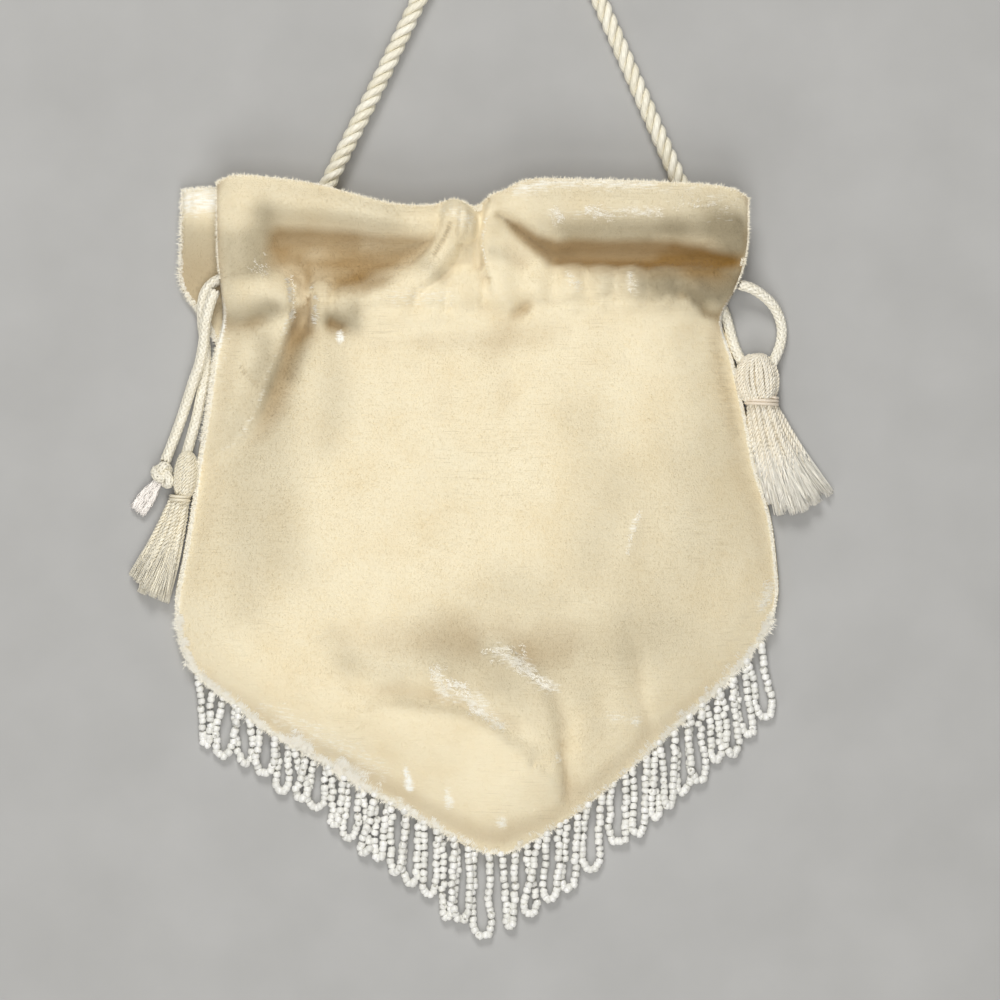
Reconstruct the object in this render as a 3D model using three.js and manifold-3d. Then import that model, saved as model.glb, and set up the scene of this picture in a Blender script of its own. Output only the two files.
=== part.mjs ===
// Ivory velvet drawstring evening bag with a looped seed-bead fringe, lying on its back.
// Millimetres, +Z up. X runs across the bag, and Y runs up from the tip of its pointed bottom seam.
import * as THREE from "three";
import { mergeVertices } from "three/addons/utils/BufferGeometryUtils.js";
import Module from "manifold-3d";

const wasm = await Module();
wasm.setup();

// Driving dimensions
const CLOTH = 2.0;
const SIDE_SEAM_GAP = 0.3;
const FRINGE_SEAM_GAP = 1.5;
const FRINGE_SEAM_TOP = 62;
const SIDE_SEAM_TOP = 152;
const SLIT_LENGTH = 10;
const CASING_LOW = 159;
const HEADER_BASE = 175.5;
const STRAP_DIAMETER = 5.2;
const DRAWCORD_DIAMETER = 3.2;
const BEAD_DIAMETER = 2.0;
const STRAP_SIDES = 10;
const DRAWCORD_SIDES = 8;
const STRAP_STEPS = 30;
const BODY_STEPS = 20;
const BACK_STEPS = 12;
const CASING_STEPS = 5;
const BODY_COLUMNS = 30;
const BACK_COLUMNS = 16;
const WELD_DISTANCE = 1e-4;
const ORIGIN = { x: 0.1, y: 87.35 };

// Roundness of the pillow profiles: higher is flatter in the middle and fuller at the edges.
const FRONT_FULLNESS = 2.6;
const HEADER_FULLNESS = 4;
const BACK_FULLNESS = 8;

// Crowding of the grid towards the tip and the sides, and the runs over which shapes fade in from the tip.
const ROW_CROWDING = 1.3;
const SIDE_CROWDING = 0.4;
const TIP_RUN = 20;
const FOLD_RUN = 12;
const BELLY_RUN = 6;
const RIM_SHARPNESS = 8;

// The fringe seam's slanting wall is thicker when measured level, the belly is pressed flat on the surface,
// and the wide seam closes to the side seam's gap above the fringe.
const SLANT_INSET = 1.5;
const BELLY_PRESS = 0.6;
const RIM_CLOSING = { start: FRINGE_SEAM_TOP + 6, end: FRINGE_SEAM_TOP + 18 };

// Cross-section rows of the front, from the seam's tip up to the foot of the header: the side edges,
// the height of the edge above the surface and the height of the crest.
const FRONT_ROWS = [
  { y: 0, left: 3, right: 9, edge: 3.6, crest: 3.6 },
  { y: 2.5, left: -3, right: 14.2, edge: 3.6, crest: 7.5 },
  { y: 10.7, left: -18, right: 28, edge: 3.6, crest: 11.5 },
  { y: 20, left: -34.8, right: 39.7, edge: 3.6, crest: 14 },
  { y: 28, left: -47.6, right: 49, edge: 3.6, crest: 15.5 },
  { y: 36, left: -62, right: 58, edge: 3.6, crest: 16.5 },
  { y: 44, left: -72, right: 67, edge: 3.6, crest: 17.2 },
  { y: 52, left: -82.3, right: 75.6, edge: 3.6, crest: 17.6 },
  { y: 60, left: -87.6, right: 82.3, edge: 3.6, crest: 18 },
  { y: 68, left: -89.3, right: 87.3, edge: 3.6, crest: 18.2 },
  { y: 76, left: -89.5, right: 89.5, edge: 3.6, crest: 18.4 },
  { y: 88, left: -87.2, right: 89, edge: 3.6, crest: 18.4 },
  { y: 101, left: -85, right: 87.1, edge: 3.6, crest: 18.2 },
  { y: 115, left: -83.1, right: 83, edge: 3.6, crest: 18 },
  { y: 130, left: -80.6, right: 80, edge: 3.6, crest: 17.4 },
  { y: 146, left: -78.3, right: 76.5, edge: 3.8, crest: 16.8 },
  { y: 159, left: -75.6, right: 73, edge: 5, crest: 15 },
  { y: 167.5, left: -76, right: 76.8, edge: 7.5, crest: 17.6 },
  { y: 175.5, left: -77, right: 80, edge: 9, crest: 15 },
];

// Profile of the front's header, from its foot (0) to its top edge (1).
const HEADER_ROWS = [
  { share: 0, left: -77, right: 80, edge: 9, crest: 15 },
  { share: 0.35, left: -77.3, right: 80.9, edge: 10.5, crest: 17 },
  { share: 0.75, left: -77.3, right: 80.9, edge: 12.5, crest: 20.5 },
  { share: 1, left: -77.3, right: 81, edge: 11, crest: 18.5 },
];

const HEADER_SHARES = [0, 0.18, 0.38, 0.58, 0.78, 0.92, 1];

// Top edge of the front's header, from the left corner to the right one.
const HEADER_TOP = [
  { x: -78, y: 199.3 },
  { x: -72, y: 201.6 },
  { x: -59.5, y: 200.8 },
  { x: -47.7, y: 199 },
  { x: -38.5, y: 196.6 },
  { x: -25.4, y: 193.3 },
  { x: -13.5, y: 192.5 },
  { x: -6.4, y: 194.5 },
  { x: 2.8, y: 190.5 },
  { x: 8, y: 195.5 },
  { x: 15, y: 200.2 },
  { x: 34, y: 200.2 },
  { x: 54, y: 199.6 },
  { x: 75, y: 198 },
  { x: 82, y: 194.5 },
];

// Cross-section rows of the back, whose header flap juts out on the left.
const BACK_ROWS = [
  { y: 152, left: -77.2, right: 74.8 },
  { y: 160, left: -81.8, right: 72.4 },
  { y: 169, left: -88, right: 72.6 },
  { y: 178, left: -88.2, right: 75 },
  { y: 198, left: -87.6, right: 77 },
];
const BACK_FLAP_HEIGHTS = [156, 160, 164.5, 169, 175.5, 183, 190.5, 198];
const BACK_HEADER_TOP = [
  { x: -89, y: 197.8 },
  { x: -76, y: 198.4 },
  { x: -50, y: 196 },
  { x: -20, y: 190 },
  { x: 8, y: 188 },
  { x: 30, y: 195 },
  { x: 80, y: 193.5 },
];

// Main folds of the front: a straight ridge (height above 0) or crease (below 0) from one point to another.
const FOLDS = [
  { x: -68, y: 156, toX: -66, toY: 131, width: 8, height: 3.5 },
  { x: -52.4, y: 158, toX: -57.5, toY: 138, width: 4, height: -2.6 },
  { x: -57.5, y: 138, toX: -68, toY: 119, width: 4, height: -2 },
  { x: -39.6, y: 152, toX: -39.6, toY: 131, width: 4, height: -1 },
  { x: -46.5, y: 60, toX: -25.4, toY: 49, width: 5, height: -1.6 },
  { x: -37, y: 62, toX: 25, toY: 57, width: 9, height: -1.8 },
  { x: 6.4, y: 61, toX: 22, toY: 50.5, width: 4.5, height: 2.2 },
  { x: -10.8, y: 53, toX: 18.3, toY: 30.6, width: 4.5, height: 2.8 },
  { x: 26, y: 42.5, toX: 27.5, toY: 18.7, width: 4.5, height: -2 },
  { x: 45.9, y: 72.8, toX: 50.3, toY: 38.6, width: 4.5, height: -1.2 },
  { x: 36.7, y: 102, toX: 27.5, toY: 81, width: 6, height: 1.2 },
  { x: -72, y: 166, toX: -57, toY: 164, width: 6, height: 2.4 },
  { x: -50.6, y: 168, toX: -50.6, toY: 152, width: 3.5, height: -2.6 },
  { x: -46, y: 170, toX: -46, toY: 157, width: 3.5, height: 1.8 },
  { x: -38.8, y: 168, toX: -38.8, toY: 158, width: 3.5, height: 1.2 },
  { x: 12, y: 164, toX: 8, toY: 152, width: 4, height: -2 },
  { x: -60, y: 177, toX: -25, toY: 178, width: 7, height: -1.4 },
  { x: -21, y: 169.5, toX: -6, toY: 189, width: 4, height: 3 },
  { x: -1, y: 172, toX: -1, toY: 189, width: 3.5, height: -1.6 },
  { x: 5, y: 174, toX: 5, toY: 189, width: 4, height: 2.4 },
  { x: 10, y: 188, toX: 23, toY: 178, width: 4, height: -1.6 },
  { x: 23, y: 178, toX: 72, toY: 176, width: 5, height: -1.4 },
];

// Bead loops, left to right: the foot of the loop, the width of its belly and how far its top leans in X.
const LOOPS = [
  { x: -80.6, y: 29.1, belly: 2.6, lean: 0 },
  { x: -75.6, y: 25.8, belly: 5.5, lean: 2.5 },
  { x: -68.8, y: 23.8, belly: 4.4, lean: -1 },
  { x: -63.1, y: 20.8, belly: 5.8, lean: 0.5 },
  { x: -57.8, y: 15.1, belly: 5.4, lean: 0 },
  { x: -52.4, y: 13.1, belly: 4.4, lean: 0 },
  { x: -47.4, y: 10.4, belly: 5.4, lean: 0.6 },
  { x: -42.3, y: 5.1, belly: 2.6, lean: 0.6 },
  { x: -37.9, y: 1.5, belly: 4.8, lean: 1.4 },
  { x: -33.4, y: -3.3, belly: 4.6, lean: 1 },
  { x: -29, y: -4.8, belly: 3.6, lean: 1 },
  { x: -23.9, y: -8.9, belly: 3.6, lean: 0.6 },
  { x: -19.2, y: -12.2, belly: 4.4, lean: 0.4 },
  { x: -14.2, y: -15.2, belly: 4.8, lean: 0.6 },
  { x: -8.8, y: -22.3, belly: 2.8, lean: 0.2 },
  { x: -4.2, y: -22.9, belly: 4.8, lean: -0.4 },
  { x: 1.9, y: -27.6, belly: 6.2, lean: -0.6 },
  { x: 10, y: -25.2, belly: 3, lean: -0.6 },
  { x: 15.9, y: -21.1, belly: 5.4, lean: 1.4 },
  { x: 21.6, y: -16.9, belly: 4.6, lean: 1.2 },
  { x: 27.2, y: -13.7, belly: 4.6, lean: 1.4 },
  { x: 34, y: -8, belly: 6, lean: 1.4 },
  { x: 42, y: 0.3, belly: 5.8, lean: 0.6 },
  { x: 47.8, y: 2.7, belly: 4.6, lean: 0.4 },
  { x: 53, y: 7.7, belly: 4.6, lean: -0.2 },
  { x: 57.2, y: 11, belly: 4.2, lean: -0.4 },
  { x: 61.4, y: 15.1, belly: 4, lean: -0.4 },
  { x: 66.2, y: 18.4, belly: 4.8, lean: -0.6 },
  { x: 71.6, y: 24.7, belly: 4.4, lean: -1.2 },
  { x: 76.4, y: 26.4, belly: 4.4, lean: -2 },
  { x: 80.9, y: 32.4, belly: 4.2, lean: -2.2 },
  { x: 85.6, y: 37.7, belly: 6.6, lean: -3 },
];

// Spread of a loop's two ends in the seam, their depth below it, the share of the way down to where the
// strands come to rest, the height of its lowest round and the lift of the strands above the surface.
const LOOP = { spread: 3.4, depth: 1.5, landing: 0.4, round: 0.5, lift: 0.2, steps: 6 };

// Heading tape of the fringe, from inside the seam to below it.
const TAPE = { thickness: 0.9, inside: 1.2, below: 2 };

// Routes of the cords, each from the piece that it comes out of to the piece that it goes into.
const STRAP_ROUTE = [
  [-57.4, 172.8, 5],
  [-50.5, 186.5, 5],
  [-43.5, 201, 4.8],
  [-36, 216, 3.6],
  [-28, 232, 2.8],
  [-14, 261, 2.8],
  [-4, 281, 2.8],
  [2, 292, 2.8],
  [10.5, 297.5, 2.8],
  [19, 292.5, 2.8],
  [25, 281, 2.8],
  [33.5, 261.5, 2.8],
  [46, 233, 2.8],
  [53, 217, 3.6],
  [60, 201, 4.8],
  [66, 187, 5],
  [71.6, 174.2, 5],
];
const LEFT_FRONT_ROUTE = [
  [-77.8, 167.6, 6.4],
  [-79.3, 163.4, 7.2],
  [-80.6, 158, 7.3],
  [-81.2, 152, 6.3],
  [-82.4, 146, 5.3],
  [-84.2, 141, 4.2],
  [-86.2, 135, 2.6],
  [-88.2, 129, 1.8],
  [-91, 121.4, 1.8],
  [-92.8, 116.9, 2.6],
];
const LEFT_BACK_ROUTE = [
  [-77.6, 172, 4],
  [-80.6, 171, 4],
  [-83.4, 168, 4],
  [-83.9, 163, 4],
  [-82.6, 157, 3.8],
  [-80.9, 151.5, 2.5],
  [-80.7, 145, 1.8],
  [-82, 137, 1.8],
  [-83.6, 130, 1.8],
  [-85.6, 123.4, 2.2],
  [-87, 118.9, 3.2],
];
const RIGHT_FRONT_ROUTE = [
  [78.2, 169.5, 6.6],
  [82.6, 168, 6],
  [87.2, 164.6, 4.2],
  [89.8, 160.8, 2.8],
  [91, 156.4, 2],
  [90.6, 152, 2],
  [89.2, 148.2, 3],
  [87.9, 146, 4],
];
const RIGHT_BACK_ROUTE = [
  [74, 164.4, 1.8],
  [75.8, 160, 1.8],
  [77.2, 155.6, 1.8],
  [79.2, 150.8, 2.4],
  [80.8, 147.9, 3.2],
];

// Tassels: the head's middle and half sizes, the neck, and the two corners of the skirt's fanned end.
const LEFT_TASSEL = {
  head: [-87.4, 112.8, 4.2],
  headSize: [3.4, 6, 3.9],
  lean: -0.1,
  neck: [-89, 105, 3.6],
  neckWidth: 5,
  fan: [[-102.4, 83], [-97.6, 78.6], [-91.2, 77.4]],
};
const RIGHT_TASSEL = {
  head: [83.5, 141.4, 4.6],
  headSize: [5.2, 7.2, 4.3],
  lean: 0.16,
  neck: [85, 133.4, 4],
  neckWidth: 6.6,
  fan: [[89.4, 104], [97, 102.6], [104.8, 109.4]],
};
const LOCK = { radius: 1.75, sides: 6, steps: 3, bow: 0.45, startLift: 0.4, bowLift: 0.3, endHeight: 1.9 };
const LOCK_LAYERS = [
  { count: 5, from: 0, to: 1, rise: 0, endRise: 0 },
  { count: 3, from: 0.12, to: 0.88, rise: 2.2, endRise: 1.54 },
];
const NECK = { halfLength: 3, clearance: 0.6 };
const LUMP = { around: 10, rings: 7 };

// Overhand knot and its frayed tail.
const KNOT = { middle: [-94.2, 113.2, 3.1], size: [2.7, 3.9, 2.9], lean: 0.5 };
const TAIL = { diameter: 2.6, sides: 6, steps: 4 };
const TAIL_ENDS = [[-102.6, 101.8, 1.6], [-99.2, 100.2, 1.6]];

const velvet = new THREE.MeshStandardMaterial({ color: 0xefe3c6, roughness: 0.85, metalness: 0 });
const beads = new THREE.MeshStandardMaterial({ color: 0xeeece4, roughness: 0.3, metalness: 0 });
const satin = new THREE.MeshStandardMaterial({ color: 0xece4d0, roughness: 0.45, metalness: 0 });

// Smooth value of one column of a table, between its rows.
function column(table, along, key, at) {
  const last = table.length - 1;
  let i = 0;
  while (i < last - 1 && table[i + 1][along] < at) i += 1;
  const slope = (k) => {
    const a = table[Math.max(0, k - 1)];
    const b = table[Math.min(last, k + 1)];
    return (b[key] - a[key]) / (b[along] - a[along]);
  };
  const run = table[i + 1][along] - table[i][along];
  const t = THREE.MathUtils.clamp((at - table[i][along]) / run, 0, 1);
  const t2 = t * t;
  const t3 = t2 * t;
  const start = (2 * t3 - 3 * t2 + 1) * table[i][key] + (t3 - 2 * t2 + t) * run * slope(i);
  const end = (3 * t2 - 2 * t3) * table[i + 1][key] + (t3 - t2) * run * slope(i + 1);
  return start + end;
}

// Height that the folds add at a point of the front.
function foldHeight(x, y) {
  const at = new THREE.Vector3(x, y, 0);
  const near = new THREE.Vector3();
  let sum = 0;
  for (const fold of FOLDS) {
    const line = new THREE.Line3(
      new THREE.Vector3(fold.x, fold.y, 0),
      new THREE.Vector3(fold.toX, fold.toY, 0),
    );
    line.closestPointToPoint(at, true, near);
    const away = near.distanceTo(at) / fold.width;
    sum += fold.height * Math.exp(-away * away);
  }
  return sum;
}

// Share of the sewn seam at a height: 1 below the side slits, 0 above them.
const sewn = (y) => 1 - THREE.MathUtils.smoothstep(y, SIDE_SEAM_TOP, SIDE_SEAM_TOP + SLIT_LENGTH);

// Wall inset of the inside face from a side edge, wider where the seam runs slanting.
const sideInset = (y) => CLOTH * sewn(y) * (y < FRINGE_SEAM_TOP ? SLANT_INSET : 1);
const tipInset = (y) => CLOTH * Math.max(0, 1 - y / TIP_RUN);

// Pillow profile across the bag, from one edge (-1) to the other (1).
const pillow = (s, fullness) => Math.sqrt(Math.max(0, 1 - Math.abs(s) ** fullness));

// A point of the front panel's outside or inside face.
function frontPoint(across, row, inside) {
  const s = 2 * across - 1;
  if (row.share !== undefined) {
    const left = column(HEADER_ROWS, "share", "left", row.share);
    const right = column(HEADER_ROWS, "share", "right", row.share);
    const edge = column(HEADER_ROWS, "share", "edge", row.share);
    const crest = column(HEADER_ROWS, "share", "crest", row.share);
    const x = THREE.MathUtils.lerp(left, right, across);
    const y = THREE.MathUtils.lerp(HEADER_BASE, column(HEADER_TOP, "x", "y", x), row.share);
    const folds = foldHeight(x, y) * (1 - s ** RIM_SHARPNESS);
    const z = edge + (crest - edge) * pillow(s, HEADER_FULLNESS) + folds;
    return new THREE.Vector3(x, y, inside ? z - CLOTH : z);
  }
  const y = inside ? row.y + tipInset(row.y) : row.y;
  const inset = inside ? sideInset(y) : 0;
  const left = column(FRONT_ROWS, "y", "left", y) + inset;
  const right = column(FRONT_ROWS, "y", "right", y) - inset;
  const edge = column(FRONT_ROWS, "y", "edge", row.y);
  const crest = column(FRONT_ROWS, "y", "crest", row.y);
  const x = THREE.MathUtils.lerp(left, right, across);
  const rimFade = (1 - s ** RIM_SHARPNESS) * Math.min(1, row.y / FOLD_RUN);
  const rise = Math.max(0, inside ? crest - edge - CLOTH * sewn(y) : crest - edge);
  const drop = inside ? CLOTH * (1 - sewn(y)) : 0;
  const z = edge + rise * pillow(s, FRONT_FULLNESS) + foldHeight(x, y) * rimFade - drop;
  return new THREE.Vector3(x, y, z);
}

// Side edges of the back: the front's own below the slits, and the flap's above.
function backEdge(key, y) {
  if (y <= BACK_ROWS[0].y) return column(FRONT_ROWS, "y", key, y);
  return column(BACK_ROWS, "y", key, y);
}

// Height of the back's rim, which leaves the seam gap under the front's rim.
function backRim(y) {
  const wide = 1 - THREE.MathUtils.smoothstep(y, RIM_CLOSING.start, RIM_CLOSING.end);
  const gap = THREE.MathUtils.lerp(SIDE_SEAM_GAP, FRINGE_SEAM_GAP, wide);
  return (FRONT_ROWS[0].edge - gap) * sewn(y);
}

// A point of the back panel's outside face, flat on the surface, or of its inside face.
function backPoint(across, row, inside) {
  const s = 2 * across - 1;
  const y = inside ? row.y + tipInset(row.y) : row.y;
  const inset = inside ? sideInset(y) : 0;
  const left = backEdge("left", y) + inset;
  const right = backEdge("right", y) - inset;
  const x = THREE.MathUtils.lerp(left, right, across);
  const rim = backRim(row.y);
  const belly = pillow(s, BACK_FULLNESS) * Math.min(1, row.y / BELLY_RUN);
  const under = Math.max(0, rim - (rim + BELLY_PRESS) * belly);
  const sewnTop = rim - (rim - CLOTH) * belly;
  const top = THREE.MathUtils.lerp(under + CLOTH, sewnTop, sewn(y));
  const header = THREE.MathUtils.smoothstep(row.y, HEADER_BASE, BACK_ROWS.at(-1).y);
  const lift = (column(BACK_HEADER_TOP, "x", "y", x) - BACK_ROWS.at(-1).y) * header;
  return new THREE.Vector3(x, y + lift, inside ? top : under);
}

// Closed wall between an outside grid and an inside grid of the same rows and columns.
function wall(rows, columns, point, flip) {
  const vertices = [];
  const faces = [];
  const across = (i) => {
    const even = i / columns;
    return THREE.MathUtils.lerp(even, (1 - Math.cos(Math.PI * even)) / 2, SIDE_CROWDING);
  };
  for (const inside of [false, true]) {
    for (const row of rows) {
      for (let i = 0; i <= columns; i += 1) vertices.push(...point(across(i), row, inside).toArray());
    }
  }
  const layer = rows.length * (columns + 1);
  const index = (i, j, inside) => (inside ? layer : 0) + j * (columns + 1) + i;
  const quad = (a, b, c, d) => faces.push(...(flip ? [a, c, b, a, d, c] : [a, b, c, a, c, d]));
  const top = rows.length - 1;
  for (let j = 0; j < top; j += 1) {
    for (let i = 0; i < columns; i += 1) {
      quad(index(i, j, false), index(i + 1, j, false), index(i + 1, j + 1, false), index(i, j + 1, false));
      quad(index(i, j, true), index(i, j + 1, true), index(i + 1, j + 1, true), index(i + 1, j, true));
    }
    quad(index(0, j, false), index(0, j + 1, false), index(0, j + 1, true), index(0, j, true));
    const end = columns;
    quad(index(end, j, false), index(end, j, true), index(end, j + 1, true), index(end, j + 1, false));
  }
  for (let i = 0; i < columns; i += 1) {
    quad(index(i, 0, false), index(i, 0, true), index(i + 1, 0, true), index(i + 1, 0, false));
    quad(index(i, top, false), index(i + 1, top, false), index(i + 1, top, true), index(i, top, true));
  }
  const geometry = new THREE.BufferGeometry();
  geometry.setAttribute("position", new THREE.Float32BufferAttribute(vertices, 3));
  geometry.setIndex(faces);
  return geometry;
}

// Row heights of the sewn body, closer together towards the pointed tip.
function bodyRows(count, top) {
  return Array.from({ length: count }, (_, k) => ({ y: top * (k / (count - 1)) ** ROW_CROWDING }));
}

function frontPanel() {
  const casing = Array.from({ length: CASING_STEPS - 1 }, (_, k) => ({
    y: THREE.MathUtils.lerp(CASING_LOW, HEADER_BASE, (k + 1) / CASING_STEPS),
  }));
  const header = HEADER_SHARES.map((share) => ({ share }));
  return wall([...bodyRows(BODY_STEPS, CASING_LOW), ...casing, ...header], BODY_COLUMNS, frontPoint, false);
}

function backPanel() {
  const flap = BACK_FLAP_HEIGHTS.map((y) => ({ y }));
  return wall([...bodyRows(BACK_STEPS, SIDE_SEAM_TOP), ...flap], BACK_COLUMNS, backPoint, true);
}

// Regular section of a cord.
function roundSection(diameter, sides) {
  const points = Array.from({ length: sides }, (_, k) => {
    const angle = (2 * Math.PI * k) / sides;
    return new THREE.Vector2(Math.cos(angle), Math.sin(angle)).multiplyScalar(diameter / 2);
  });
  return new THREE.Shape(points);
}

// Tube of a section along a smooth route.
function tube(route, section, steps) {
  const curve = new THREE.CatmullRomCurve3(route.map((p) => new THREE.Vector3(...p)));
  return new THREE.ExtrudeGeometry(section, { extrudePath: curve, steps, bevelEnabled: false });
}

// A closed geometry as a solid, and a solid as a geometry.
function solidOf(geometry) {
  const bare = geometry.clone();
  bare.deleteAttribute("normal");
  bare.deleteAttribute("uv");
  const merged = mergeVertices(bare, WELD_DISTANCE);
  const mesh = new wasm.Mesh({
    numProp: 3,
    vertProperties: new Float32Array(merged.attributes.position.array),
    triVerts: new Uint32Array(merged.index.array),
  });
  return new wasm.Manifold(mesh);
}

function fuse(geometries) {
  const joined = geometries.map(solidOf).reduce((sum, next) => sum.add(next));
  const mesh = joined.getMesh();
  const geometry = new THREE.BufferGeometry();
  geometry.setAttribute("position", new THREE.Float32BufferAttribute(mesh.vertProperties, 3));
  geometry.setIndex(Array.from(mesh.triVerts));
  return geometry;
}

// Points of the bottom seam, from its left end round the tip to its right end.
function seamPoints() {
  const rows = bodyRows(BODY_STEPS, CASING_LOW).filter((row) => row.y <= FRINGE_SEAM_TOP);
  const side = (key) => rows.map((row) => new THREE.Vector2(column(FRONT_ROWS, "y", key, row.y), row.y));
  return [...side("left").reverse(), ...side("right")];
}

// Height of the bottom seam under a place across the bag.
function seamHeight(points, x) {
  const i = points.findIndex((p, k) => k > 0 && p.x >= x);
  if (i < 0) return points.at(-1).y;
  const share = (x - points[i - 1].x) / (points[i].x - points[i - 1].x);
  return THREE.MathUtils.lerp(points[i - 1].y, points[i].y, THREE.MathUtils.clamp(share, 0, 1));
}

// Heading tape in the bottom seam: a flat strip that follows the seam.
function headingTape(points, height) {
  const offset = (amount) =>
    points.map((p, k) => {
      const along = points[Math.min(k + 1, points.length - 1)].clone().sub(points[Math.max(k - 1, 0)]);
      return p.clone().add(new THREE.Vector2(along.y, -along.x).normalize().multiplyScalar(amount));
    });
  const outline = [...offset(TAPE.below), ...offset(-TAPE.inside).reverse()];
  const strip = new THREE.ExtrudeGeometry(new THREE.Shape(outline), {
    depth: TAPE.thickness,
    bevelEnabled: false,
  });
  return strip.translate(0, 0, height - TAPE.thickness / 2);
}

// Square strip that follows a route with its faces upright and level.
function squareStrip(route, steps) {
  const curve = new THREE.CatmullRomCurve3(route.map((p) => new THREE.Vector3(...p)));
  const half = BEAD_DIAMETER / 2;
  const corners = [[-1, -1], [1, -1], [1, 1], [-1, 1]];
  const vertices = [];
  const faces = [0, 1, 2, 0, 2, 3];
  for (let k = 0; k <= steps; k += 1) {
    const at = curve.getPointAt(k / steps);
    const way = curve.getTangentAt(k / steps);
    const side = new THREE.Vector3(way.y, -way.x, 0).normalize();
    for (const [across, up] of corners) {
      const corner = at.clone().addScaledVector(side, across * half);
      vertices.push(corner.x, corner.y, corner.z + up * half);
    }
    if (k === steps) continue;
    for (let c = 0; c < 4; c += 1) {
      const a = 4 * k + c;
      const b = 4 * k + ((c + 1) % 4);
      faces.push(a, b + 4, b, a, a + 4, b + 4);
    }
  }
  const end = 4 * steps;
  faces.push(end, end + 2, end + 1, end, end + 3, end + 2);
  const geometry = new THREE.BufferGeometry();
  geometry.setAttribute("position", new THREE.Float32BufferAttribute(vertices, 3));
  geometry.setIndex(faces);
  return geometry;
}

function beadFringe() {
  const seam = seamPoints();
  const seamMiddle = FRONT_ROWS[0].edge - FRINGE_SEAM_GAP / 2;
  const half = BEAD_DIAMETER / 2;
  const floor = half + LOOP.lift;
  const pieces = [headingTape(seam, seamMiddle)];
  for (const loop of LOOPS) {
    const strand = (side) => {
      const topX = loop.x + loop.lean + (side * LOOP.spread) / 2;
      const topY = seamHeight(seam, topX) - LOOP.depth;
      const lowX = loop.x + (side * (loop.belly - BEAD_DIAMETER)) / 2;
      const lowY = loop.y + half + LOOP.round * loop.belly;
      const restX = THREE.MathUtils.lerp(topX, lowX, LOOP.landing);
      const restY = THREE.MathUtils.lerp(topY, lowY, LOOP.landing);
      return [
        [topX, topY, seamMiddle],
        [restX, restY, floor],
        [lowX, lowY, floor],
      ];
    };
    const foot = [loop.x, loop.y + half, floor];
    pieces.push(squareStrip([...strand(-1), foot, ...strand(1).reverse()], LOOP.steps));
  }
  return fuse(pieces);
}

// Rounded lump of a head, neck or knot.
function lump(middle, size, lean) {
  const ball = new THREE.SphereGeometry(1, LUMP.around, LUMP.rings);
  ball.scale(...size);
  ball.rotateZ(lean);
  return ball.translate(...middle);
}

// Tassel: a head, a neck and two layers of locks that fan out over the surface.
function tassel(spec) {
  const [neckX, neckY, neckZ] = spec.neck;
  const pieces = [
    lump(spec.head, spec.headSize, spec.lean),
    lump(spec.neck, [spec.neckWidth / 2, NECK.halfLength, neckZ - NECK.clearance], 0),
  ];
  const fan = new THREE.QuadraticBezierCurve(...spec.fan.map((p) => new THREE.Vector2(...p)));
  const section = roundSection(2 * LOCK.radius, LOCK.sides);
  for (const layer of LOCK_LAYERS) {
    for (let k = 0; k < layer.count; k += 1) {
      const share = THREE.MathUtils.lerp(layer.from, layer.to, k / (layer.count - 1));
      const end = fan.getPoint(share);
      const startX = neckX + (share - 0.5) * (spec.neckWidth - 2 * LOCK.radius);
      const bow = THREE.MathUtils.lerp(startX, end.x, LOCK.bow);
      const route = [
        [startX, neckY, LOCK.endHeight + LOCK.startLift + layer.rise],
        [bow, (neckY + end.y) / 2, LOCK.endHeight + LOCK.bowLift + layer.rise],
        [end.x, end.y, LOCK.endHeight + layer.endRise],
      ];
      pieces.push(tube(route, section, LOCK.steps));
    }
  }
  return fuse(pieces);
}

function knot() {
  const section = roundSection(TAIL.diameter, TAIL.sides);
  const tails = TAIL_ENDS.map((end) => {
    const middle = KNOT.middle.map((value, k) => (value + end[k]) / 2);
    return tube([KNOT.middle, middle, end], section, TAIL.steps);
  });
  return fuse([lump(KNOT.middle, KNOT.size, KNOT.lean), ...tails]);
}

const drawcordSection = roundSection(DRAWCORD_DIAMETER, DRAWCORD_SIDES);
const drawcord = (route) => tube(route, drawcordSection, route.length);

const bag = new THREE.Group();
bag.position.set(-ORIGIN.x, -ORIGIN.y, 0);

function add(name, geometry, material) {
  const mesh = new THREE.Mesh(geometry, material);
  mesh.name = name;
  bag.add(mesh);
}

add("front_panel", frontPanel(), velvet);
add("back_panel", backPanel(), velvet);
add("bead_fringe", beadFringe(), beads);
add("strap", tube(STRAP_ROUTE, roundSection(STRAP_DIAMETER, STRAP_SIDES), STRAP_STEPS), satin);
add("left_drawcord_front", drawcord(LEFT_FRONT_ROUTE), satin);
add("left_drawcord_back", drawcord(LEFT_BACK_ROUTE), satin);
add("left_knot", knot(), satin);
add("left_tassel", tassel(LEFT_TASSEL), satin);
add("right_drawcord_front", drawcord(RIGHT_FRONT_ROUTE), satin);
add("right_drawcord_back", drawcord(RIGHT_BACK_ROUTE), satin);
add("right_tassel", tassel(RIGHT_TASSEL), satin);

export default bag;
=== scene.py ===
# %% [markdown]
# A velvet drawstring bag, dressed over its solids
# The imported solids give the bag's true size and place. This lesson gives each its finish: velvet sheets
# with gathers and pile, a laid rope, braided drawcords, yarn tassels and a fringe of seed beads. The solids
# are never moved; the front panel's box places the dressed bag, and each dressed solid stays in the scene,
# hidden.

# %% Load the imported bag
import math

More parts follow.
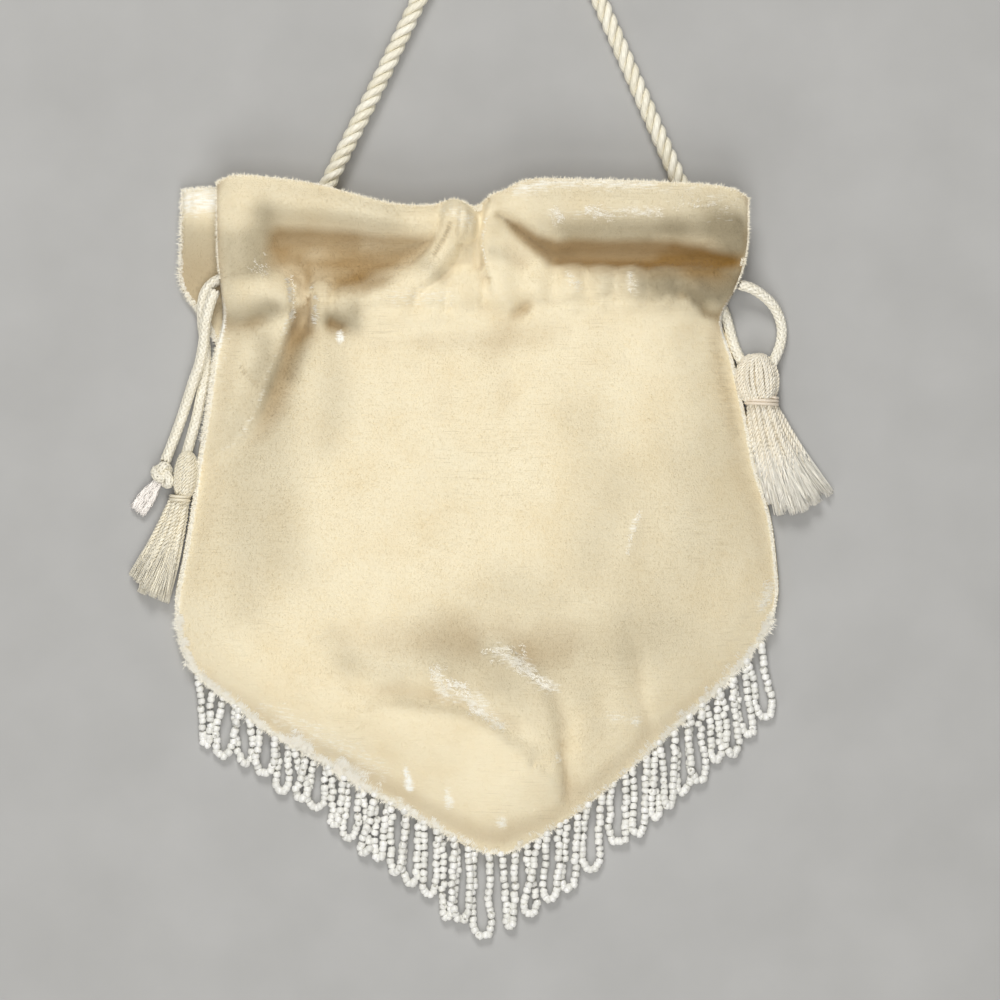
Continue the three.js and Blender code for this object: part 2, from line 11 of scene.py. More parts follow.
import bpy
import numpy as np
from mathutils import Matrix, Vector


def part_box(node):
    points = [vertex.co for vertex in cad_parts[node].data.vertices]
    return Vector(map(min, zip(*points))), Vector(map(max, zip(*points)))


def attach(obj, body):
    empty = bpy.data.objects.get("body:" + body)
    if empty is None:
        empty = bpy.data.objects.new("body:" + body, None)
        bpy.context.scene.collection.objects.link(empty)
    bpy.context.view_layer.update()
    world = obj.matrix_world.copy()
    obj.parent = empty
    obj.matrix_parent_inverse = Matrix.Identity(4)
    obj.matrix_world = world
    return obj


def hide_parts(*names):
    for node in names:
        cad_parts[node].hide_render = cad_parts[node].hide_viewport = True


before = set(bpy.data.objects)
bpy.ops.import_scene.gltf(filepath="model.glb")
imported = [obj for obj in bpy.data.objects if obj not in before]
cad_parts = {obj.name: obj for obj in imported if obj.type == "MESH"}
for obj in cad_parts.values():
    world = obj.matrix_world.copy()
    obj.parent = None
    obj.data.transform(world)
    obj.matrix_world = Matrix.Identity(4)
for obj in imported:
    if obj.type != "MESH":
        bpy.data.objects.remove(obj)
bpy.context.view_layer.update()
bpy.ops.object.select_all(action="DESELECT")
print("solids:", ", ".join(sorted(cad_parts)))

# %% [markdown]
# Sizes are in millimetres on the bag itself: x from its middle, y from the tip of its pointed seam and z
# from the surface under it. One function turns them into metres in the shared frame, with the tip's place
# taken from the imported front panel.

# %% The bag's own measure
MM = 0.001
MIDDLE_X = -0.1
TIP_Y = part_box("front_panel")[0].y / MM


def in_frame(points):
    """Points in the bag's millimetres as metres in the shared frame."""
    return (np.asarray(points, dtype=float) + (MIDDLE_X, TIP_Y, 0.0)) * MM


print("the seam's tip is at", [round(value, 4) for value in in_frame((0, 0, 0))])

# %% [markdown]
# The camera looks straight down on the lying bag. It stands far off with a long lens, because a near camera
# would make the raised mouth look wider than the fringe on the surface.

# %% Camera
VIEW_MIDDLE = (7.0, 105.4, 9.0)
VIEW_WIDTH = 297.0
CAMERA_DISTANCE = 2000.0
SENSOR = 36.0

camera_place = in_frame(VIEW_MIDDLE) + (0, 0, CAMERA_DISTANCE * MM)
bpy.ops.object.camera_add(location=camera_place, rotation=(0, 0, 0))
camera = bpy.context.object
camera.name = "view_from_above"
camera.data.sensor_width = SENSOR
camera.data.lens = SENSOR * CAMERA_DISTANCE / VIEW_WIDTH
bpy.context.scene.camera = camera
print("camera lens:", round(camera.data.lens), "mm")

# %% [markdown]
# Rope, cord, yarn and thread are all the same thing to a modeller: round strands that follow a line. The
# first helpers draw smooth lines, measure along them and find the directions across them.

# %% Helpers for lines
CURVE_POINTS = 24
FEWEST_POINTS = 3
SMALLEST = 1e-12


def unit(vectors):
    """Vectors scaled to length one."""
    return vectors / np.maximum(np.linalg.norm(vectors, axis=-1, keepdims=True), SMALLEST)


def run_along(lines):
    """Distance along each line to each of its points."""
    steps = np.linalg.norm(np.diff(lines, axis=-2), axis=-1)
    start = np.zeros((*steps.shape[:-1], 1))
    return np.concatenate([start, np.cumsum(steps, axis=-1)], axis=-1)


def points_at(at, run, points):
    """Points of a line at some distances, where run is the distance to each point that it has."""
    return np.stack([np.interp(at, run, points[:, k]) for k in range(points.shape[1])], axis=1)


def smooth_route(points, step):
    """Even points, about a step apart, on a smooth curve through the given ones."""
    given = np.asarray(points, dtype=float)
    ends = [2 * given[0] - given[1], *given, 2 * given[-1] - given[-2]]
    fine = []
    for a, b, c, d in zip(ends, ends[1:], ends[2:], ends[3:]):
        t = np.linspace(0, 1, CURVE_POINTS, endpoint=False)[:, None]
        bend = 2 * a - 5 * b + 4 * c - d
        twist = 3 * b - a - 3 * c + d
        fine.append(0.5 * (2 * b + (c - a) * t + bend * t**2 + twist * t**3))
    fine = np.vstack([*fine, given[-1:]])
    run = run_along(fine)
    even = np.linspace(0, run[-1], max(FEWEST_POINTS, round(run[-1] / step) + 1))
    return points_at(even, run, fine)


def along(lines):
    """Directions of lines, given as an array of lines by points by three."""
    return unit(np.gradient(lines, axis=-2))


def side_frames(lines, first_up=(0.0, 0.0, 1.0)):
    """Two directions across each line that turn as little as they can on the way along it."""
    way = along(lines)
    across = np.zeros_like(lines)
    start = np.broadcast_to(first_up, way[..., 0, :].shape)
    for k in range(lines.shape[-2]):
        tangent = way[..., k, :]
        start = unit(start - tangent * np.sum(start * tangent, axis=-1, keepdims=True))
        across[..., k, :] = start
    return across, np.cross(way, across)


def turned_round(frames, angle):
    """Directions at an angle round each line, from the two directions across it."""
    return frames[0] * np.cos(angle)[..., None] + frames[1] * np.sin(angle)[..., None]


print("a curve has", CURVE_POINTS, "fine points between two given ones")

# %% [markdown]
# Blender's bevelled curves could draw one strand at a time, but a tassel has hundreds. So one helper sweeps
# a ring along many lines at once and joins them in one mesh. Each strand gets a UV map, with u around it
# and v along it in centimetres, and a random shade of its own, so that a finish can follow the strands.

# %% Helpers for strands
CENTIMETRES_PER_METRE = 100.0


def sweep(lines, radius, sides, flatness=1.0, frames=None):
    """Vertices, quads, end faces and UVs of round or flattened strands along lines of equal point count."""
    lines = np.asarray(lines, dtype=float)
    count, steps = lines.shape[:2]
    across, beside = side_frames(lines) if frames is None else frames
    turn = 2 * np.pi * np.arange(sides) / sides
    size = np.broadcast_to(np.asarray(radius, dtype=float), (count, steps))[..., None, None]
    ring = across[:, :, None] * np.cos(turn)[:, None] * flatness + beside[:, :, None] * np.sin(turn)[:, None]
    vertices = (lines[:, :, None] + ring * size).reshape(-1, 3)
    index = np.arange(count * steps * sides).reshape(count, steps, sides)
    after = np.roll(index, -1, axis=2)
    quads = np.stack([index[:, :-1], after[:, :-1], after[:, 1:], index[:, 1:]], axis=-1).reshape(-1, 4)
    ends = np.vstack([index[:, 0, ::-1], index[:, -1]])
    run = run_along(lines) * CENTIMETRES_PER_METRE
    u = np.stack([np.arange(sides), np.arange(1, sides + 1)], axis=1) / sides
    shape = (count, steps - 1, sides)
    low = np.broadcast_to(run[:, :-1, None], shape)
    high = np.broadcast_to(run[:, 1:, None], shape)
    left = np.broadcast_to(u[:, 0], shape)
    right = np.broadcast_to(u[:, 1], shape)
    corners = np.stack([left, low, right, low, right, high, left, high], axis=-1)
    return vertices, [quads, ends], corners.reshape(-1, 2)


def keep_marks(mesh, marks):
    """Keep named values on the points of a mesh."""
    for key, values in marks.items():
        layer = mesh.attributes.new(key, "FLOAT", "POINT")
        layer.data.foreach_set("value", np.asarray(values, dtype=np.float32).reshape(-1))


def new_piece(name, vertices, faces, uv=None, marks=None):
    """A mesh object from arrays, with a UV map for its first faces and named values for its points."""
    mesh = bpy.data.meshes.new(name)
    faces = [face for face in faces if len(face)]
    corners = np.concatenate([face.reshape(-1) for face in faces])
    sizes = np.concatenate([np.full(len(face), face.shape[1]) for face in faces])
    mesh.vertices.add(len(vertices))
    mesh.vertices.foreach_set("co", np.asarray(vertices, dtype=np.float32).reshape(-1))
    mesh.loops.add(len(corners))
    mesh.loops.foreach_set("vertex_index", corners.astype(np.int32))
    mesh.polygons.add(len(sizes))
    mesh.polygons.foreach_set("loop_start", (np.cumsum(sizes) - sizes).astype(np.int32))
    if uv is not None:
        whole = np.zeros((len(corners), 2), dtype=np.float32)
        whole[: len(uv)] = uv
        mesh.uv_layers.new(name="UVMap").data.foreach_set("uv", whole.reshape(-1))
    keep_marks(mesh, marks or {})
    mesh.update(calc_edges=True)
    mesh.polygons.foreach_set("use_smooth", np.ones(len(sizes), dtype=bool))
    piece = bpy.data.objects.new(name, mesh)
    bpy.context.collection.objects.link(piece)
    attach(piece, "root")
    mesh.calc_loop_triangles()
    print(name, "has", len(mesh.loop_triangles), "triangles")
    return piece


def strand_piece(name, lines, radius, sides, seed, flatness=1.0, frames=None):
    """One piece of many strands, each with a random shade."""
    vertices, faces, uv = sweep(lines, radius, sides, flatness, frames)
    shade = np.random.default_rng(seed).random(len(lines))
    return new_piece(name, vertices, faces, uv, {"shade": np.repeat(shade, len(vertices) // len(lines))})


# %% [markdown]
# The strap is a satin rope of three strands laid together. Each strand is a tube that winds round the
# rope's middle line, to the right as it goes away, once in every lay. The whole loop is shown: its top lies
# on the surface beyond the picture's edge, and both ends go down between the two headers, where they are
# sewn in.

# %% Strap
STRAP_DIAMETER = 5.2
STRAP_STRANDS = 3
STRAP_LAY = 12.1
STRAND_SHARE = 0.44
STRAP_STEP = 0.6
STRAP_ROUTE = [
    (-57.4, 172.8, 5), (-50.5, 186.5, 5), (-43.5, 201, 4.8), (-36, 216, 3.6), (-28, 232, 2.8),
    (-14, 261, 2.8), (-4, 281, 2.8), (2, 292, 2.8), (10.5, 297.5, 2.8), (19, 292.5, 2.8), (25, 281, 2.8),
    (33.5, 261.5, 2.8), (46, 233, 2.8), (53, 217, 3.6), (60, 201, 4.8), (66, 187, 5), (71.6, 174.2, 5),
]


def route_length(points):
    """Length of a line of points."""
    return float(np.sum(np.linalg.norm(np.diff(points, axis=0), axis=1)))


def laid_strands(route, count, lay, offset):
    """Middle lines of strands that wind round a route."""
    angle = 2 * np.pi * (run_along(route) / lay + np.arange(count)[:, None] / count)
    return route + offset * turned_round(side_frames(route[None]), angle)


strap_route = smooth_route(in_frame(STRAP_ROUTE), STRAP_STEP * MM)
strand_radius = STRAP_DIAMETER / 2 * STRAND_SHARE * MM
strand_offset = STRAP_DIAMETER / 2 * MM - strand_radius
strap_lines = laid_strands(strap_route, STRAP_STRANDS, STRAP_LAY * MM, strand_offset)
strap = strand_piece("strap_rope", strap_lines, strand_radius, sides=12, seed=1)
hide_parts("strap")
print("strap length:", round(route_length(strap_route), 3), "m")

# %% [markdown]
# The drawcords are braided from twelve flat strands. Six wind one way and six the other, and each passes
# over one strand and under the next: a wave in its distance from the cord's middle weaves them. Two runs of
# cord come out on each side, one from the front casing and one from the back. On the left one ends in a
# knot and one in a tassel, and on the right both go into one tassel's head.

# %% Drawcords
DRAWCORD_DIAMETER = 3.2
BRAID_STRANDS_EACH_WAY = 6
BRAID_LAY = 11.0
BRAID_STEP = 0.36
BRAID_REACH = 0.8
BRAID_WAVE = 0.06
COUNTER_SHIFT = 0.25
FLAT_STRAND_SHARE = 0.18
LEFT_FRONT_ROUTE = [
    (-77.8, 167.6, 6.4), (-79.3, 163.4, 7.2), (-80.6, 158, 7.3), (-81.2, 152, 6.3), (-82.4, 146, 5.3),
    (-84.2, 141, 4.2), (-86.2, 135, 2.6), (-88.2, 129, 1.8), (-91, 121.4, 1.8), (-92.8, 116.9, 2.6),
]
LEFT_BACK_ROUTE = [
    (-73.6, 171.6, 4), (-76.7, 171, 4), (-79.2, 169.4, 4), (-80.9, 166.9, 4), (-81.6, 163.6, 4),
    (-81.6, 158, 3.8), (-80.9, 152, 2.5), (-80.7, 145, 1.8), (-82, 137, 1.8), (-83.4, 130, 1.8),
    (-85.2, 123.4, 2.2), (-86.4, 119.2, 3.2),
]
RIGHT_FRONT_ROUTE = [
    (78.2, 169.5, 6.6), (82.6, 168, 6), (87.2, 164.6, 4.2), (89.8, 160.8, 2.8), (91, 156.4, 2),
    (90.6, 152, 2), (89.2, 148.2, 3), (87.9, 146, 4),
]
RIGHT_BACK_ROUTE = [
    (60, 168.6, 3.9), (65, 168, 3.9), (69.4, 166.4, 3.8), (72.4, 163.8, 3.0), (74.2, 160.4, 2.2),
    (75.3, 156.8, 1.8), (76.3, 153, 1.8), (77.6, 149.4, 2.4), (79, 146.6, 3.2),
]


def braided_lines(route, diameter, lay):
    """Middle lines of the strands of a round braid, and the frames that keep each strand flat on the cord."""
    frames = side_frames(route)
    run = run_along(route)
    wave = np.sin(2 * np.pi * BRAID_STRANDS_EACH_WAY * run / lay)
    lines, outward = [], []
    for way in (1, -1):
        for k in range(BRAID_STRANDS_EACH_WAY):
            start = (k + (COUNTER_SHIFT if way < 0 else 0)) / BRAID_STRANDS_EACH_WAY
            angle = 2 * np.pi * (way * run / lay + start)
            out = turned_round(frames, angle)
            distance = diameter / 2 * (BRAID_REACH + BRAID_WAVE * way * wave)
            lines.append(route + out * distance[:, None])
            outward.append(out)
    lines = np.array(lines)
    outward = np.array(outward)
    way = along(lines)
    outward = unit(outward - way * np.sum(outward * way, axis=-1, keepdims=True))
    return lines, (outward, np.cross(way, outward))


def braided_cord(name, points, seed, diameter=DRAWCORD_DIAMETER):
    """A braided cord along a route, and the route's even points."""
    route = smooth_route(in_frame(points), BRAID_STEP * MM)
    lines, frames = braided_lines(route, diameter * MM, BRAID_LAY * MM)
    radius = FLAT_STRAND_SHARE * diameter * MM
    piece = strand_piece(name, lines, radius, sides=6, seed=seed, flatness=0.5, frames=frames)
    return piece, route


left_front_cord, left_front_route = braided_cord("left_drawcord_front_braid", LEFT_FRONT_ROUTE, seed=2)
left_back_cord, left_back_route = braided_cord("left_drawcord_back_braid", LEFT_BACK_ROUTE, seed=3)
right_front_cord, right_front_route = braided_cord("right_drawcord_front_braid", RIGHT_FRONT_ROUTE, seed=4)
right_back_cord, right_back_route = braided_cord("right_drawcord_back_braid", RIGHT_BACK_ROUTE, seed=8)
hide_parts("left_drawcord_front")
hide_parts("left_drawcord_back")
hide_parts("right_drawcord_front")
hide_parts("right_drawcord_back")

# %% [markdown]
# The bag's front is one sheet of velvet, wide at the middle, pointed below and gathered above on the
# drawcord, with a header standing up past the gathers. A row of its tables gives the two side edges, the
# height of the edge and the height of the crest, as for the solid. Cloth simulation could puff such a
# sheet, but its folds would fall where chance puts them. These folds have their own places, so the points
# are moved in code, as with a sculpting brush.

# %% Cross-section tables
FRONT_ROWS = {
    "y": [0, 2.5, 10.7, 20, 28, 36, 44, 52, 60, 68, 76, 88, 101, 115, 130, 146, 159, 167.5, 175.5],
    "left": [3, -3, -18, -34.8, -47.6, -62, -72, -82.3, -87.6, -89.3]
    + [-89.5, -87.2, -85, -83.1, -80.6, -78.3, -75.6, -76, -77],
    "right": [9, 14.2, 28, 39.7, 49, 58, 67, 75.6, 82.3, 87.3]
    + [89.5, 89, 87.1, 83, 80, 76.5, 73, 76.8, 80],
    "edge": [3.6] * 15 + [3.8, 5, 7.5, 9],
    "crest": [3.6, 7.5, 11.5, 14, 15.5, 16.5, 17.2, 17.6, 18, 18.2]
    + [18.4, 18.4, 18.2, 18, 17.4, 16.8, 15, 17.6, 15],
}
HEADER_ROWS = {
    "share": [0, 0.35, 0.75, 1],
    "left": [-77, -77.3, -77.3, -77.3],
    "right": [80, 80.9, 80.9, 81],
    "edge": [9, 10.5, 12.5, 11],
    "crest": [15, 17, 20.5, 18.5],
}
HEADER_TOP = {
    "x": [-78, -72, -59.5, -47.7, -38.5, -25.4, -13.5, -6.4, -0.2, 3.6, 8, 15, 34, 54, 75, 82],
    "y": [199.3, 201.6, 200.8, 199, 196.6, 193.3, 192.7, 194.4]
    + [192.2, 195.2, 197, 200.2, 200.2, 199.6, 198, 194.5],
}
HEADER_BASE = 175.5
FRONT_FULLNESS = 2.6
HEADER_FULLNESS = 4
FULLNESS_RUN = 16


def column(table, key_at, key, at):
    """Smooth value of one column of a table between its rows."""
    place = np.asarray(table[key_at], dtype=float)
    value = np.asarray(table[key], dtype=float)
    slope = np.empty_like(value)
    slope[1:-1] = (value[2:] - value[:-2]) / (place[2:] - place[:-2])
    slope[0] = (value[1] - value[0]) / (place[1] - place[0])
    slope[-1] = (value[-1] - value[-2]) / (place[-1] - place[-2])
    i = np.clip(np.searchsorted(place, at) - 1, 0, len(place) - 2)
    run = place[i + 1] - place[i]
    t = np.clip((at - place[i]) / run, 0, 1)
    start = (2 * t**3 - 3 * t**2 + 1) * value[i] + (t**3 - 2 * t**2 + t) * run * slope[i]
    end = (3 * t**2 - 2 * t**3) * value[i + 1] + (t**3 - t**2) * run * slope[i + 1]
    return start + end


def smoothstep(at, low, high):
    """0 below low, 1 above high and a soft curve between."""
    t = np.clip((at - low) / (high - low), 0, 1)
    return t * t * (3 - 2 * t)


def header_share(x, y):
    """How far up the header a point is, from its foot (0) to its top edge (1)."""
    return np.clip((y - HEADER_BASE) / (column(HEADER_TOP, "x", "y", x) - HEADER_BASE), 0, 1)


def pillow(x, y):
    """Height of the puffed front before its folds."""
    share = header_share(x, y)
    on_body = y <= HEADER_BASE
    part = {}
    for key in ("left", "right", "edge", "crest"):
        body = column(FRONT_ROWS, "y", key, y)
        part[key] = np.where(on_body, body, column(HEADER_ROWS, "share", key, share))
    near_header = smoothstep(y, HEADER_BASE - FULLNESS_RUN, HEADER_BASE)
    fullness = FRONT_FULLNESS + (HEADER_FULLNESS - FRONT_FULLNESS) * near_header
    half = (part["right"] - part["left"]) / 2
    s = np.clip(np.abs(x - (part["right"] + part["left"]) / 2) / half, 0, 1)
    return part["edge"] + (part["crest"] - part["edge"]) * np.sqrt(1 - s**fullness)


print("crest of the bag:", round(float(pillow(np.array([0.0]), np.array([76.0]))[0]), 1), "mm")

# %% [markdown]
# A grid of points has four sides, and this sheet has four too: the fringe seam, the two side edges and the
# header's top. The grid is stretched between those four curves, so its squares stay even right down to the
# pointed tip. The rows are closer together near the top, where the gathers are.

# %% Stretch a grid over the front
SHEET_COLUMNS = 208
SHEET_ROWS = 186
WIDEST = 71.0
ROW_CROWDING = 1.3
SEAM_CROWDING = 1.4
SEAM_SAMPLES = 400


def seam_curve(count):
    """Even points of the fringe seam, from its left end round the tip to its right end."""
    heights = WIDEST * np.linspace(1, 0, SEAM_SAMPLES) ** SEAM_CROWDING
    left = np.stack([column(FRONT_ROWS, "y", "left", heights), heights], axis=1)
    right = np.stack([column(FRONT_ROWS, "y", "right", heights), heights], axis=1)[::-1]
    whole = np.vstack([left, right])
    run = run_along(whole)
    return points_at(np.linspace(0, run[-1], count), run, whole)


def side_curve(key, share):
    """Points of a side edge, from the fringe seam's end (0) to the header's corner (1)."""
    corner_x = HEADER_ROWS[key][-1]
    corner_y = float(column(HEADER_TOP, "x", "y", np.array([corner_x]))[0])
    y = WIDEST + (corner_y - WIDEST) * share
    low = column(FRONT_ROWS, "y", key, y)
    up_header = np.clip((y - HEADER_BASE) / (corner_y - HEADER_BASE), 0, 1)
    high = column(HEADER_ROWS, "share", key, up_header)
    return np.stack([np.where(y <= HEADER_BASE, low, high), y], axis=1)


def stretched_grid(columns, rows):
    """Points of a grid between the seam, the two sides and the header's top."""
    u = np.linspace(0, 1, columns)
    v = 1 - (1 - np.linspace(0, 1, rows)) ** ROW_CROWDING
    bottom = seam_curve(columns)
    left, right = side_curve("left", v), side_curve("right", v)
    top_x = left[-1, 0] + (right[-1, 0] - left[-1, 0]) * u
    top = np.stack([top_x, column(HEADER_TOP, "x", "y", top_x)], axis=1)
    u, v = u[None, :, None], v[:, None, None]
    across = (1 - u) * left[:, None] + u * right[:, None]
    up = (1 - v) * bottom[None] + v * top[None]
    low = (1 - u) * bottom[0] + u * bottom[-1]
    high = (1 - u) * top[0] + u * top[-1]
    return across + up - (1 - v) * low - v * high


front_grid = stretched_grid(SHEET_COLUMNS, SHEET_ROWS)
print("front grid:", front_grid.shape[1], "by", front_grid.shape[0], "points")

# %% [markdown]
# A ridge is a soft swelling along a line, or a crease where its height is below 0. A tapered ridge grows
# from nothing along its line. A roll is a rounded pleat with steep sides, and a pocket is a hollow with a
# closed outline. Each fold is one row: the tool, its line, its width to the left and to the right of that
# line, and its height. A ridge that is narrow on one side and wide on the other looks like an edge of cloth
# lying over its neighbour.

# %% Fold tools
GROWS_OVER = 0.5
ROLL_SQUARENESS = 0.7
NOISE_CELLS = 256
NOISE_SHIFT = 100.5


def line_distance(x, y, points):
    """Distance from a line of points, its sign (above 0 on the line's left) and the share along the line."""
    points = np.asarray(points, dtype=float)
    lengths = np.linalg.norm(np.diff(points, axis=0), axis=1)
    before = np.concatenate([[0], np.cumsum(lengths)])
    best = np.full(x.shape, np.inf)
    sign = np.ones(x.shape)
    share = np.zeros(x.shape)
    for k, (a, b) in enumerate(zip(points, points[1:])):
        way = (b - a) / lengths[k]
        dx, dy = x - a[0], y - a[1]
        at = np.clip(dx * way[0] + dy * way[1], 0, lengths[k])
        away = np.hypot(dx - at * way[0], dy - at * way[1])
        near = away < best
        best = np.where(near, away, best)
        sign = np.where(near, np.where(way[0] * dy - way[1] * dx >= 0, 1, -1), sign)
        share = np.where(near, (before[k] + at) / before[-1], share)
    return best, sign, share


def ridge(x, y, points, left, right, height):
    """Soft ridge, or crease where the height is below 0."""
    away, sign, _ = line_distance(x, y, points)
    return height * np.exp(-((away / np.where(sign > 0, left, right)) ** 2))


def tapered(x, y, points, left, right, height):
    """Soft ridge or crease that grows from nothing over the first half of its line."""
    away, sign, share = line_distance(x, y, points)
    width = np.where(sign > 0, left, right)
    return height * smoothstep(share, 0, GROWS_OVER) * np.exp(-((away / width) ** 2))


def roll(x, y, points, left, right, height):
    """Rounded pleat with steep sides."""
    away, sign, _ = line_distance(x, y, points)
    return height * np.clip(1 - (away / np.where(sign > 0, left, right)) ** 2, 0, 1) ** ROLL_SQUARENESS


def grown_roll(x, y, points, left, right, height):
    """Rounded pleat that rises out of the cloth over the first half of its line."""
    share = line_distance(x, y, points)[2]
    return smoothstep(share, 0, GROWS_OVER) * roll(x, y, points, left, right, height)


def pocket(x, y, outline, outside, inside, height):
    """Hollow with a closed outline, falling from a width outside it to a width inside it."""
    corners = np.asarray(outline, dtype=float)
    away = line_distance(x, y, [*corners, corners[0]])[0]
    within = np.zeros(x.shape, dtype=bool)
    for (ax, ay), (bx, by) in zip(corners, np.roll(corners, -1, axis=0)):
        crosses = (ay > y) != (by > y)
        within ^= crosses & (x < ax + (bx - ax) * (y - ay) / (by - ay + 1e-9))
    return height * smoothstep(np.where(within, away, -away), -outside, inside)


def mottle(x, y, size, seed):
    """Smooth random value from -1 to 1 that changes over a given size."""
    grid = np.random.default_rng(seed).uniform(-1, 1, (NOISE_CELLS, NOISE_CELLS))
    px, py = x / size + NOISE_SHIFT, y / size + NOISE_SHIFT
    i, j = np.floor(px).astype(int), np.floor(py).astype(int)
    u, v = px - i, py - j
    u, v = u * u * (3 - 2 * u), v * v * (3 - 2 * v)
    i, j = i % (NOISE_CELLS - 1), j % (NOISE_CELLS - 1)
    low = grid[i, j] * (1 - u) + grid[i + 1, j] * u
    high = grid[i, j + 1] * (1 - u) + grid[i + 1, j + 1] * u
    return low * (1 - v) + high * v


print("fold tools:", ", ".join(tool.__name__ for tool in (ridge, tapered, roll, grown_roll, pocket)))

# %% [markdown]
# The body's folds are soft: a tongue of cloth that hangs from the left gathers, a few pressed folds low on
# the right, and a lump of cloth that has slid down towards the tip.

# %% Folds of the body
LOBE_LIP = [
    (-78, 118.6), (-73, 121.7), (-68.8, 126.2), (-65.8, 131.8), (-63.2, 137.8), (-61, 144.6), (-58, 153),
    (-56, 159),
]
LOBE_CREASE = [
    (-76, 115.5), (-70.6, 119.6), (-66, 124.8), (-62.6, 131.4), (-60.4, 137.6), (-57.8, 144.6),
    (-55.2, 151.8), (-52, 160),
]
BODY_FOLDS = [
    (ridge, LOBE_LIP, 8, 2.6, 1.8),
    (tapered, LOBE_CREASE, 2.8, 7, -3.0),
    (ridge, LOBE_CREASE, 2.6, 6, -0.7),
    (ridge, [(-58.6, 152), (-67, 143)], 4, 4, -1.2),
    (ridge, [(-72, 157), (-70, 148)], 5, 5, 1.2),
    (ridge, [(-41, 152), (-40.4, 144), (-39.8, 131)], 5, 6, -0.6),
    (ridge, [(4, 61.5), (12, 57.5), (21, 51.5)], 3.6, 2.8, 1.6),
    (ridge, [(14, 57.5), (21.5, 49.5), (25.5, 40), (26, 28), (27.5, 17.5)], 4.6, 2.6, -2.0),
    (ridge, [(-28.7, 43), (-16.8, 42.6), (-3, 40), (6, 35), (14, 29)], 3.0, 11, 2.3),
    (ridge, [(-34, 48.6), (-18, 47), (-6, 45.4), (3, 41.6), (10, 37)], 5, 2.4, -1.9),
    (ridge, [(-11.7, 55.5), (-6.4, 49.5), (0.4, 45.5), (4, 40.5), (8.5, 36)], 3.4, 3.2, 1.1),
    (ridge, [(-39, 64), (-6, 63), (25, 61)], 12, 9, -2.6),
    (tapered, [(45.4, 76), (47.4, 58), (48.8, 45), (52, 33.6)], 2.4, 4.2, -1.9),
    (ridge, [(25.9, 33), (26.1, 28), (27.4, 17)], 1.1, 1.5, -0.9),
    (ridge, [(29.8, 34.6), (30.2, 30)], 3, 3, 0.9),
    (ridge, [(36.7, 102), (32, 92), (27.5, 81)], 7, 8, 0.9),
    (ridge, [(48.3, 101.6), (46, 96), (44.4, 90)], 2.6, 2.6, 0.6),
    (ridge, [(56, 100), (52, 80), (57, 60)], 11, 11, 1.0),
    (ridge, [(-70, 100), (-66, 78), (-60, 62)], 10, 10, -1.3),
    (ridge, [(-20, 34), (-6, 24), (4, 16)], 9, 9, 1.0),
    (ridge, [(8, 157), (6.5, 148), (9, 136)], 5, 6, -0.7),
    (ridge, [(40, 158), (43, 146)], 6, 6, -0.6),
    (ridge, [(58, 156), (61, 143), (66, 128)], 6, 7, 0.8),
    (ridge, [(-24, 158), (-22, 148)], 6, 6, 0.5),
]
print(len(BODY_FOLDS), "folds on the body")

# %% [markdown]
# The casing that the drawcord runs in is a band of soft lumps. At its left end the cloth is pushed together
# in a puff and two pleats, with deep recesses between them.

